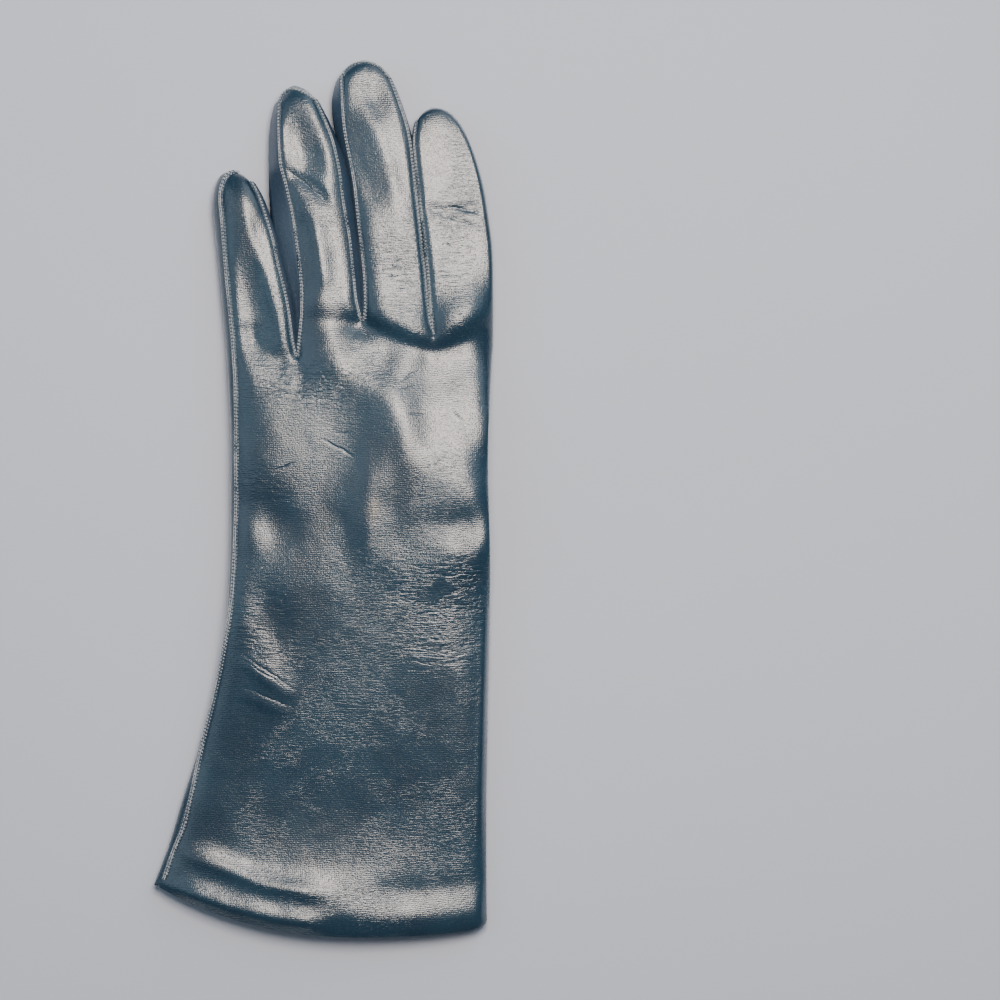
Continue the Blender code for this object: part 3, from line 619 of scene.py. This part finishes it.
# Crease: one thin line pressed into the leather from Start to End, in metres, seen from above. It is deepest
# halfway along.
crease, given, result = new_group(
    "crease_line", {"Start": (0, 0, 0), "End": (0.01, 0, 0), "Width": 0.0005}, ("Height",)
)
make = node_maker(crease)
away = vectors(make, "SUBTRACT", given["Coordinate"], given["Start"])
way = vectors(make, "SUBTRACT", given["End"], given["Start"])
parts = {0: vectors(make, "DOT_PRODUCT", away, way), 1: vectors(make, "DOT_PRODUCT", way, way)}
share = make("ShaderNodeMath", parts, operation="DIVIDE", use_clamp=True).outputs[0]
gap = vectors(make, "DISTANCE", away, vectors(make, "SCALE", way, share))
spread = maths(make, "POWER", maths(make, "DIVIDE", gap, given["Width"]), 2.0)
groove = maths(make, "EXPONENT", maths(make, "MULTIPLY", spread, -1.0))
fade = maths(make, "MULTIPLY", maths(make, "MULTIPLY", share, -4.0), maths(make, "SUBTRACT", 1.0, share))
join(result, {"Height": maths(make, "MULTIPLY", groove, fade)})

# Soft area: full at Place and fading out over Half Size
area, given, result = new_group(
    "soft_area", {"Place": (0, 0, 0), "Half Size": (0.01, 0.01, 1), "Strength": 1.0}, ("Mask",)
)
make = node_maker(area)
away = vectors(make, "SUBTRACT", given["Coordinate"], given["Place"])
scaled = vectors(make, "DIVIDE", away, given["Half Size"])
square = vectors(make, "DOT_PRODUCT", scaled, scaled)
fade = maths(make, "EXPONENT", maths(make, "MULTIPLY", square, -1.0))
join(result, {"Mask": maths(make, "MULTIPLY", fade, given["Strength"])})

# Specks: a few white grains of dust, each a small part of a millimetre across
SPECK_CORE = 0.6  # the share of a grain's size within which it is fully white
CLEAN = 0.45  # the share of the places that stay without one
specks, given, result = new_group("dust_specks", {"Per Metre": 80.0, "Size": 0.02}, ("Mask",))
make = node_maker(specks)
cells = make(
    "ShaderNodeTexVoronoi", {"Vector": given["Coordinate"], "Scale": given["Per Metre"]}, feature="F1"
)
core = maths(make, "MULTIPLY", given["Size"], SPECK_CORE)
near = between(make, cells.outputs["Distance"], core, given["Size"], 1.0, 0.0)
chosen = make("ShaderNodeSeparateColor", {0: cells.outputs["Color"]})
few = maths(make, "GREATER_THAN", chosen.outputs[0], CLEAN)
join(result, {"Mask": maths(make, "MULTIPLY", near, few)})

# Tones: the dye is uneven, deeper in some clouds than in others, and rubbed paler in tiny flakes
CLOUDS = (0.38, 0.62)  # between which values of the noise the dye goes from deep to middle
FLAKES = (0.5, 0.72)  # and from unrubbed to rubbed
FLAKE_SHARE = 0.16  # how much of the rubbed colour a flake shows
tones, given, result = new_group(
    "uneven_dye",
    {"Deep": (0.05, 0.09, 0.14, 1), "Middle": (0.07, 0.12, 0.17, 1), "Rubbed": (0.16, 0.19, 0.2, 1)},
    ("Color", "Flakes"),
)
make = node_maker(tones)
clouds = noise(make, given["Coordinate"], scale=45.0, detail=4.0)
dyed = mixed(make, between(make, clouds, *CLOUDS), given["Deep"], given["Middle"])
flakes = noise(make, given["Coordinate"], scale=1500.0, detail=3.0)
sharp = between(make, flakes, *FLAKES)
rubbed = mixed(make, maths(make, "MULTIPLY", sharp, FLAKE_SHARE), dyed, given["Rubbed"])
join(result, {"Color": rubbed, "Flakes": sharp})

# Single creases of the back, in millimetres: the start, the end, the width and the depth
CREASES = (
    ((-0.5, 19.5), (11.2, 13.5), 0.45, 0.16),
    ((4.2, 21.6), (9.8, 21.6), 0.35, 0.10),
    ((-16.2, 8.5), (-8.8, 11.8), 0.40, 0.12),
    ((-28.0, -51.0), (-8.0, -64.5), 0.55, 0.12),
    ((-27.0, -53.5), (-12.0, -63.0), 0.40, 0.10),
    ((-27.5, -62.5), (-9.0, -70.0), 0.45, 0.08),
    ((-12.0, 109.0), (1.5, 98.0), 0.60, 0.22),
    ((41.0, 97.0), (53.5, 94.0), 0.55, 0.20),
    ((39.0, 93.5), (53.0, 90.5), 0.40, 0.12),
    ((25.0, 38.2), (32.7, 42.4), 0.35, 0.09),
    ((25.0, 36.1), (31.2, 37.6), 0.30, 0.08),
    ((27.6, 27.8), (34.8, 27.5), 0.30, 0.08),
    ((43.1, 29.0), (47.3, 25.4), 0.30, 0.08),
    ((51.2, 32.3), (55.9, 29.6), 0.35, 0.09),
)

# Where the back is wrinkled most, in millimetres: the middle, half the size, and how strongly
WRINKLED = (
    (-6.0, 37.0, 20.0, 6.5, 0.9),
    (42.0, -31.0, 17.0, 9.5, 1.5),
    (40.0, -50.0, 16.0, 7.0, 0.7),
    (-19.0, -44.0, 9.0, 12.0, 0.8),
    (-20.0, 4.0, 9.0, 8.0, 0.5),
    (22.0, 76.0, 8.0, 14.0, 0.5),
    (42.0, 78.0, 11.0, 14.0, 0.4),
)
CREASE_WAVER = 2 * MM
STAIN = ((17.2, -4.2), (2.0, 4.0))  # millimetres: an ochre stain's middle and half its size
STAIN_STRENGTH = 0.3
OCHRE = (0.16, 0.11, 0.045, 1)
PALE_DUST = (0.8, 0.8, 0.76, 1)
PEBBLE_DEPTH = 0.042 * MM  # how far the relief of each kind stands out or goes in
WRINKLE_DEPTH = 0.024 * MM
PRINT_DEPTH = 0.008 * MM
HOLLOW_DEPTH = 0.26 * MM
DEEP_WRINKLE_DEPTH = 0.13 * MM
FLAKE_GLOSS = -0.06  # how much less rough the leather is in the rubbed flakes
SLATE = {
    "Deep": (0.005, 0.023, 0.047, 1),
    "Middle": (0.009, 0.036, 0.066, 1),
    "Rubbed": (0.12, 0.16, 0.17, 1),
}


def new_material(name):
    """A new material: itself, its shader, its node maker and the object's own coordinates."""
    made = bpy.data.materials.new(name)
    made.use_nodes = True
    make = node_maker(made.node_tree)
    place = make("ShaderNodeTexCoord").outputs["Object"]
    return made, made.node_tree.nodes["Principled BSDF"], make, place


def group_node(make, group, place, values):
    """A node group placed in a material with its own values."""
    return make("ShaderNodeGroup", {"Coordinate": place, **values}, node_tree=group)


def leather(name, dyes, roughness, creases=(), wrinkled=None, stain=None):
    """A glossy leather with uneven dye, grain, wrinkles and a woven print. Creases, more wrinkles where an
    attribute says so, and a stain with dust are added if given."""
    made, skin, make, place = new_material(name)
    pebbles = group_node(make, grain, place, {"Cells per Metre": 1500.0})
    lines = group_node(make, wrinkles, place, {"Length": 0.0045, "Spacing": 0.0008, "Cover": 0.55})
    threads = group_node(make, woven, place, {"Spacing": 0.00062})
    dye = group_node(make, tones, place, dyes)
    hollows = group_node(make, dents, place, {"Size": 0.011})
    height = maths(make, "MULTIPLY", pebbles.outputs["Height"], PEBBLE_DEPTH)
    for kind, depth in ((lines, WRINKLE_DEPTH), (threads, PRINT_DEPTH), (hollows, HOLLOW_DEPTH)):
        height = maths(make, "MULTIPLY_ADD", kind.outputs["Height"], depth, height)
    if creases:
        waver = noise(make, place, scale=220.0, detail=3.0, output="Color")
        centred = vectors(make, "SUBTRACT", waver, (0.5, 0.5, 0.5))
        moved = vectors(make, "ADD", place, vectors(make, "SCALE", centred, CREASE_WAVER))
        from_above = vectors(make, "MULTIPLY", moved, (1, 1, 0))
    for (x, y), (end_x, end_y), width, depth in creases:
        ends = {"Start": (x * MM, y * MM, 0), "End": (end_x * MM, end_y * MM, 0), "Width": width * MM}
        line = group_node(make, crease, from_above, ends)
        height = maths(make, "MULTIPLY_ADD", line.outputs["Height"], depth * MM, height)
    if wrinkled:
        sizes = {"Length": 0.010, "Spacing": 0.0017, "Patch Size": 0.012, "Cover": 0.9}
        deep_lines = group_node(make, wrinkles, place, sizes)
        places = make("ShaderNodeAttribute", attribute_name=wrinkled).outputs["Fac"]
        rough_height = maths(make, "MULTIPLY", deep_lines.outputs["Height"], places)
        height = maths(make, "MULTIPLY_ADD", rough_height, DEEP_WRINKLE_DEPTH, height)
    relief = make("ShaderNodeBump", {"Strength": 1.0, "Distance": 1.0, "Height": height}).outputs[0]
    colour = dye.outputs["Color"]
    if stain:
        (x, y), (half_x, half_y) = stain
        spot = {"Place": (x * MM, y * MM, 0), "Half Size": (half_x * MM, half_y * MM, 1)}
        spot["Strength"] = STAIN_STRENGTH
        colour = mixed(make, group_node(make, area, place, spot).outputs["Mask"], colour, OCHRE)
        dust = group_node(make, specks, place, {"Per Metre": 70.0, "Size": 0.026})
        colour = mixed(make, dust.outputs["Mask"], colour, PALE_DUST)
    gloss = maths(make, "MULTIPLY_ADD", dye.outputs["Flakes"], FLAKE_GLOSS, roughness)
    join(skin, {"Base Color": colour, "Roughness": gloss, "Normal": relief, "Coat Normal": relief})
    join(skin, {"IOR": 1.52, "Specular Tint": (0.76, 0.92, 1.0, 1)})
    join(skin, {"Coat Weight": 0.9, "Coat IOR": 1.5, "Coat Roughness": 0.23})
    return made


def two_tones(make, share, dark, light, start=0.35, end=0.65):
    """A colour that goes from dark to light as the share goes from start to end."""
    shade = make("ShaderNodeValToRGB", {0: share})
    for stop, position, colour in zip(shade.color_ramp.elements, (start, end), (dark, light)):
        stop.position = position
        stop.color = colour
    return shade.outputs[0]


def cover(piece, *materials):
    """Gives a piece its materials, in place of any that it has."""
    piece.data.materials.clear()
    for material in materials:
        piece.data.materials.append(material)


points = points_of(trank)
amount = np.zeros(len(points))
for x, y, half_x, half_y, strength in WRINKLED:
    aside, ahead = (points[:, 0] / MM - x) / half_x, (points[:, 1] / MM - y) / half_y
    amount += strength * np.exp(-(aside**2) - ahead**2)
mark = trank.data.attributes.new("wrinkled", "FLOAT", "POINT")
mark.data.foreach_set("value", amount)

# The flesh side of the leather shows inside the cuff, paler and without gloss
suede, skin, make, place = new_material("flesh_side")
nap = noise(make, place, scale=900.0, detail=4.0)
cloud = noise(make, place, scale=90.0, detail=3.0)
blend = maths(make, "MULTIPLY_ADD", nap, 0.5, maths(make, "MULTIPLY", cloud, 0.5))
shade = two_tones(make, blend, (0.20, 0.24, 0.28, 1), (0.33, 0.38, 0.42, 1))
fuzz = make("ShaderNodeBump", {"Distance": 0.08 * MM, "Height": nap}).outputs[0]
join(skin, {"Base Color": shade, "Normal": fuzz, "Roughness": 0.9, "Sheen Weight": 0.3})
cover(
    trank,
    leather("slate_lambskin", SLATE, roughness=0.31, creases=CREASES, wrinkled="wrinkled", stain=STAIN),
    suede,
)

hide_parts("trank")
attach(trank, "root")


# The fourchettes: three forked strips of the same leather, the side walls between the fingers, dyed paler
# than the trank as painted light on these shaded walls. Each runs up both sides of a gap and round its
# crotch, and is sewn to the trank's open edges on the back and the palm.
TIP_BULGE = 0.4 * MM  # how far the strips swell into the gap, near the tips and at the crotch
CROTCH_BULGE = 1.8 * MM
RIM_SHARPNESS = 50  # degrees: where a strip turns more than this, it has a cut edge
# Paler than the trank's SLATE: painted light that lifts the shade on the strips between the fingers.
FOURCHETTE_SLATE_PAINTED_LIGHT = {
    "Deep": (0.018, 0.040, 0.076, 1),
    "Middle": (0.028, 0.058, 0.102, 1),
    "Rubbed": (0.12, 0.15, 0.16, 1),
}
fourchette_leather_painted_light = leather("fourchette_lambskin_painted_light", FOURCHETTE_SLATE_PAINTED_LIGHT, roughness=0.42)


def keep_rims(piece):
    """Marks the edges of the cut leather, so that subdividing the piece doesn't round them away."""
    select_only(piece)
    bpy.ops.object.mode_set(mode="EDIT")
    bpy.ops.mesh.select_mode(type="EDGE")
    bpy.ops.mesh.edges_select_sharp(sharpness=radians(RIM_SHARPNESS))
    bpy.ops.transform.edge_crease(value=1)
    bpy.ops.mesh.select_all(action="DESELECT")
    bpy.ops.mesh.select_mode(type="FACE")
    bpy.ops.object.mode_set(mode="OBJECT")


for node in ("fourchette_little_ring", "fourchette_ring_middle", "fourchette_middle_index"):
    strip = copy_of_node(node, node + "_leather")
    follow_seams(strip, *seam_shifts)
    keep_rims(strip)
    subdivide(strip, 3)
    points = points_of(strip)
    sideways = normals_of(strip) * (1, 1, 0)
    level = (points[:, 2] - points[:, 2].min()) / np.ptp(points[:, 2])
    reach = (points[:, 1] - points[:, 1].min()) / np.ptp(points[:, 1])
    bulge = CROTCH_BULGE + (TIP_BULGE - CROTCH_BULGE) * reach
    points += sideways * (bulge * np.sin(np.pi * level))[:, None]
    set_points(strip, points)
    shape_back(strip)
    shade_smooth(strip)
    cover(strip, fourchette_leather_painted_light)
    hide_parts(node)
    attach(strip, "root")


# The thumb: a piece of its own, of the same lambskin as the trank but less glossy. It is closed round its
# tip, folded flat under the palm and sewn into the oval hole there.
thumb = copy_of_node("thumb", "thumb_leather")
subdivide(thumb, 2)
shade_smooth(thumb)
cover(thumb, leather("thumb_lambskin", SLATE, roughness=0.40))
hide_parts("thumb")
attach(thumb, "root")


# The seams: two edges of leather sewn together with stitching stand up as a thin ridge. The ridge's leather
# and its stitches are both painted paler than the trank: a painted highlight along the seams. Round each gap
# it follows the trank's open edge; along the little finger's side and over the fingertips it follows points
# in millimetres, laid on the leather from above.
RIDGE_HALF_WIDTH = 0.85 * MM
RIDGE_HEIGHT = 0.62 * MM
RIDGE_SINK = 0.15 * MM
RIDGE_SIDES = 10
RIDGE_STEP = 0.24 * MM  # between two rings of a ridge that is laid on from above
RIDGE_TAPER = 1.2 * MM  # how far from its ends a ridge gets its full size
RIDGE_TIP = 0.15  # how far it tapers down
PINCH = (0.10, 0.28)  # how much narrower and lower each stitch pulls the ridge
UNEVEN = (0.08, 0.10)  # how much its width and height vary along it
UNEVEN_LENGTH = (2.9 * MM, 4.3 * MM)
STITCH_PITCH = 1.15 * MM  # between the places where a ridge is pinched
STITCH_SIZE = (0.36 * MM, 0.17 * MM, 0.14 * MM)  # half its length, width and height
STITCH_SINK = 0.06 * MM  # how deep its middle lies in the ridge
STITCH_ASIDE = 0.26 * MM  # how far to the left and the right of the ridge's top the stitches lie by turns
STITCH_LEAN = 0.35
OUTLINE_LEVEL = 6 * MM  # the height of a seam where it runs over the glove's outline
LAID_ROUNDS = 6  # how often the lines laid on the leather are smoothed

# The name, how far along it the seam takes to change its height, and its points
TOP_SEAMS = (
    (
        "seam_little_side", 9 * MM,
        (
            (-28.0, 109.2), (-31.4, 107.8), (-33.6, 104.0), (-34.2, 99.8), (-33.5, 94.8), (-32.8, 85.5),
            (-32.2, 76.8), (-31.2, 66.8), (-30.2, 57.2), (-29.5, 47.5), (-28.8, 39.2), (-28.7, 25.8),
            (-28.7, 12.5), (-28.7, -0.8), (-28.8, -7.5), (-29.3, -20.8), (-30.0, -34.2), (-32.7, -50.8),
            (-36.4, -67.5), (-40.8, -84.2), (-44.2, -100.8), (-46.8, -110.8), (-48.7, -114.8),
            (-50.4, -119.0), (-52.0, -124.0), (-53.0, -127.0),
        ),
    ),
    (
        "seam_ring_tip", 0,
        (
            (-14.6, 130.6), (-14.2, 133.0), (-12.8, 135.3), (-10.2, 136.2), (-7.3, 135.3), (-4.5, 133.6),
            (-2.7, 132.0),
        ),
    ),
    (
        "seam_middle_tip", 0,
        ((6.2, 139.4), (7.4, 142.2), (9.8, 144.2), (14.2, 145.2), (18.8, 143.4), (22.0, 139.4)),
    ),
)


def even_path(points, step):
    """The points of a line, its corners cut off a quarter of the way three times, at even steps. Where the
    line also holds normals, a step counts how far they turn as well, and the points come out far closer."""
    points = np.array(points, float)
    for _ in range(3):
        ahead, behind = points[1:], points[:-1]
        cut = np.stack([0.75 * behind + 0.25 * ahead, 0.25 * behind + 0.75 * ahead], 1)
        points = np.concatenate([points[:1], cut.reshape(-1, points.shape[1]), points[-1:]])
    run = run_along(points)
    even = np.linspace(0, run[-1], max(3, round(run[-1] / step) + 1))
    return np.stack([np.interp(even, run, column) for column in points.T], 1)


def unit(rows):
    return rows / np.linalg.norm(rows, axis=1)[:, None]


def smoothed(line, rounds):
    """A line's points and the leather's normals there, each drawn towards its neighbours a few times."""
    for _ in range(rounds):
        line[1:-1] = (line[:-2] + 2 * line[1:-1] + line[2:]) / 4
    return line[:, :3], unit(line[:, 3:])


def seam_line(points, normals, rounds=0):
    """A seam's points and normals along points on the leather, far closer than RIDGE_STEP."""
    return smoothed(even_path(np.concatenate([points, normals], 1), RIDGE_STEP), rounds)


def lay_on(tree, line, ease):
    """A seam's points and normals along a line given from above, in millimetres, laid on the leather."""
    path = even_path(np.array(line) * MM, RIDGE_STEP)
    hits = [tree.ray_cast(Vector((x, y, 1)), Vector((0, 0, -1)))[0] for x, y in path]
    reach = round(ease / RIDGE_STEP)
    weights = np.hanning(2 * reach + 3)[1:-1]
    heights = np.pad([place.z if place else OUTLINE_LEVEL for place in hits], reach, "edge")
    heights = np.convolve(heights, weights / weights.sum(), "valid")
    found = []
    for (x, y), z in zip(path, heights):
        place, normal, _, _ = tree.find_nearest(Vector((x, y, z)))
        found.append((*place, *normal))
    return smoothed(np.array(found), LAID_ROUNDS)


def add_mesh(name, points, faces):
    """A new piece with the given points and faces."""
    mesh = bpy.data.meshes.new(name)
    mesh.from_pydata(points.reshape(-1, 3).tolist(), [], faces)
    return new_object(name, mesh)


def add_ridge(name, points, normals, size):
    """A rounded ridge along a line, pinched at every stitch. Size 1 is that of the gaps' seams."""
    run = run_along(points)
    pinch = np.cos(2 * np.pi * run / STITCH_PITCH)
    ends = np.clip(np.minimum(run, run[-1] - run) / RIDGE_TAPER, RIDGE_TIP, 1) ** 0.5
    uneven = UNEVEN[0] * np.sin(run / UNEVEN_LENGTH[0]), UNEVEN[1] * np.sin(run / UNEVEN_LENGTH[1] + 1)
    wide = size * RIDGE_HALF_WIDTH * (1 - PINCH[0] * pinch + uneven[0]) * ends
    tall = size * RIDGE_HEIGHT * (1 - PINCH[1] * pinch + uneven[1]) * ends
    ahead = unit(np.gradient(points, axis=0))
    aside = unit(np.cross(normals, ahead))
    turns = np.linspace(0, 2 * np.pi, RIDGE_SIDES, endpoint=False)
    ring = (
        (points - normals * RIDGE_SINK * size)[:, None]
        + (aside * wide[:, None])[:, None] * np.cos(turns)[None, :, None]
        + (normals * tall[:, None])[:, None] * np.sin(turns)[None, :, None]
    )
    around = np.arange(RIDGE_SIDES)
    starts = np.arange(len(points))[:, None] * RIDGE_SIDES
    corners, onward = starts + around, starts + np.roll(around, -1)
    faces = np.stack([corners[:-1], onward[:-1], onward[1:], corners[1:]], -1).reshape(-1, 4).tolist()
    ridge = add_mesh(name, ring, [*faces, corners[0, ::-1].tolist(), corners[-1].tolist()])
    select_only(ridge)
    bpy.ops.object.mode_set(mode="EDIT")
    bpy.ops.mesh.select_all(action="SELECT")
    bpy.ops.mesh.normals_make_consistent(inside=False)
    bpy.ops.object.mode_set(mode="OBJECT")
    bpy.ops.object.shade_smooth()
    return ridge


bpy.ops.mesh.primitive_uv_sphere_add(segments=8, ring_count=5, radius=1)
stitch = bpy.context.object
stitch_points = points_of(stitch) * STITCH_SIZE
stitch_faces = [tuple(face.vertices) for face in stitch.data.polygons]
bpy.data.objects.remove(stitch)


def add_stitches(name, points, normals, size):
    """Stitches along the top of a ridge, which lean to the left and the right by turns. They come out far
    closer than STITCH_PITCH and overlap, so that they look like one cord."""
    line = even_path(np.concatenate([points, normals], 1), STITCH_PITCH)
    places, upwards = line[:, :3], unit(line[:, 3:])
    ahead = unit(np.gradient(places, axis=0))
    aside = unit(np.cross(upwards, ahead))
    lean = np.where(np.arange(len(places)) % 2, 1, -1)[:, None]
    along = unit(ahead + STITCH_LEAN * lean * aside)
    across = unit(np.cross(upwards, along))
    rise = RIDGE_HEIGHT - RIDGE_SINK - STITCH_SINK
    middle = places + size * (upwards * rise + aside * lean * STITCH_ASIDE)
    made = (
        middle[:, None]
        + stitch_points[None, :, :1] * along[:, None]
        + size * stitch_points[None, :, 1:2] * across[:, None]
        + size * stitch_points[None, :, 2:] * upwards[:, None]
    )
    starts = [k * len(stitch_points) for k in range(len(places))]
    row = add_mesh(name, made, [tuple(start + i for i in face) for start in starts for face in stitch_faces])
    row.data.shade_smooth()
    return row


# Paler than the trank's SLATE: a painted highlight on the seams' raised ridges.
SEAM_SLATE_PAINTED_HIGHLIGHT = {
    "Deep": (0.024, 0.048, 0.082, 1),
    "Middle": (0.045, 0.080, 0.110, 1),
    "Rubbed": (0.24, 0.27, 0.28, 1),
}
seam_leather_painted_highlight = leather("seam_lambskin_painted_highlight", SEAM_SLATE_PAINTED_HIGHLIGHT, roughness=0.42)
# The stitches' own blue-grey is painted paler here: a painted highlight on the stitches.
thread_painted_highlight, skin, make, place = new_material("stitching_thread_painted_highlight")
twist = noise(make, place, scale=1400.0, detail=2.0)
shade = two_tones(make, twist, (0.20, 0.26, 0.31, 1), (0.44, 0.49, 0.53, 1))
join(skin, {"Base Color": shade, "Roughness": 0.45})

surface = BVHTree.FromObject(trank, bpy.context.evaluated_depsgraph_get())
seam_lines = {name: lay_on(surface, line, ease) for name, ease, line in TOP_SEAMS}

# Each gap's open edge is sewn twice, where it runs high along the back and low along the palm
BACK_EDGE = 6.2 * MM
PALM_EDGE = 4.0 * MM
for loop, gap in zip(trank_gaps, SEAM_PLACES):
    heights = outer_points[loop, 2]
    for side, sewn in (("back", heights > BACK_EDGE), ("palm", heights < PALM_EDGE)):
        start = np.flatnonzero(sewn & ~np.roll(sewn, 1))[0]
        chain = np.roll(loop, -start)[np.roll(sewn, -start)]
        seam_lines["seam_" + gap + "_" + side] = seam_line(outer_points[chain], outer_normals[chain])

# The thumb's mouth is sewn into the hole in the palm, and the thumb's own piece is closed along its left
# side: its points furthest left are searched in bands across it, from its base to its tip
THUMB_SEAM_BASE = -6 * MM
THUMB_SEAM_TIP = 0.5 * MM  # how far before the thumb's tip the seam ends
THUMB_BAND_STEP = 1.5 * MM
THUMB_BAND = 1.2 * MM  # half its width
THUMB_ROUNDS = 12  # how often the line through them is smoothed
mouth = next(loop for loop in trank_borders if loop not in trank_gaps and loop != hem)
chain = mouth + mouth[:1]
seam_lines["seam_thumb_mouth"] = seam_line(outer_points[chain], outer_normals[chain])
points = points_of(thumb)
side = []
for y in np.arange(THUMB_SEAM_BASE, points[:, 1].max() - THUMB_SEAM_TIP, THUMB_BAND_STEP):
    band = np.flatnonzero(np.abs(points[:, 1] - y) < THUMB_BAND)
    side.append(band[points[band, 0].argmin()])
seam_lines["seam_thumb_side"] = seam_line(points[side], normals_of(thumb)[side], THUMB_ROUNDS)

SEAM_SIZES = {"seam_little_side": 1.3, "seam_thumb_mouth": 0.7, "seam_thumb_side": 0.7}
for name, line in seam_lines.items():
    size = SEAM_SIZES.get(name, 1.0)
    ridge = add_ridge(name, *line, size)
    cover(ridge, seam_leather_painted_highlight)
    row = add_stitches(name + "_stitches", *line, size)
    cover(row, thread_painted_highlight)
    for piece in (ridge, row):
        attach(piece, "root")


# The studio: a pale plaster floor just under the glove, a small warm light high beyond the fingertips, two
# large, weak, cool ones further off, to the left and beyond the fingertips, and a camera that looks straight
# down, as the photograph does.
FLOOR_DROP = 0.2 * MM
LIGHTS = (
    # name, place, size, power, colour
    ("window", (0.11, 0.22, 0.80), 0.34, 9.0, (1.0, 0.83, 0.72)),
    ("fill", (-1.1, 0.3, 1.1), 1.2, 4.5, (0.84, 0.92, 1.0)),
    ("sky", (0.8, 1.2, 1.0), 1.4, 10, (0.90, 0.95, 1.0)),
)
bpy.ops.mesh.primitive_plane_add(size=6, location=(0, 0, -FLOOR_DROP))
floor = bpy.context.object
floor.name = "floor"
bpy.ops.object.transform_apply(location=True)
plaster, skin, make, place = new_material("pale_floor")
cloud = noise(make, place, scale=6.0, detail=4.0)
shade = two_tones(make, cloud, (0.50, 0.575, 0.68, 1), (0.53, 0.61, 0.72, 1), 0, 1)
join(skin, {"Base Color": shade, "Roughness": 0.85})
cover(floor, plaster)

for name, place, size, power, colour in LIGHTS:
    lamp = new_object(name, bpy.data.lights.new(name, "AREA"))
    lamp.data.shape = "SQUARE"
    lamp.data.size = size
    lamp.data.energy = power
    lamp.data.color = colour
    lamp.location = place
    lamp.rotation_euler = (-Vector(place)).to_track_quat("-Z", "Y").to_euler()

world = bpy.data.worlds.new("room")
world.use_nodes = True
join(world.node_tree.nodes["Background"], {"Color": (0.80, 0.88, 1.0, 1), "Strength": 0.13})
bpy.context.scene.world = world

camera = new_object("camera", bpy.data.cameras.new("camera"))
camera.data.lens = 129.6
camera.data.sensor_width = 36
camera.location = (0.0588, -0.0008, 1.206)
bpy.context.scene.camera = camera
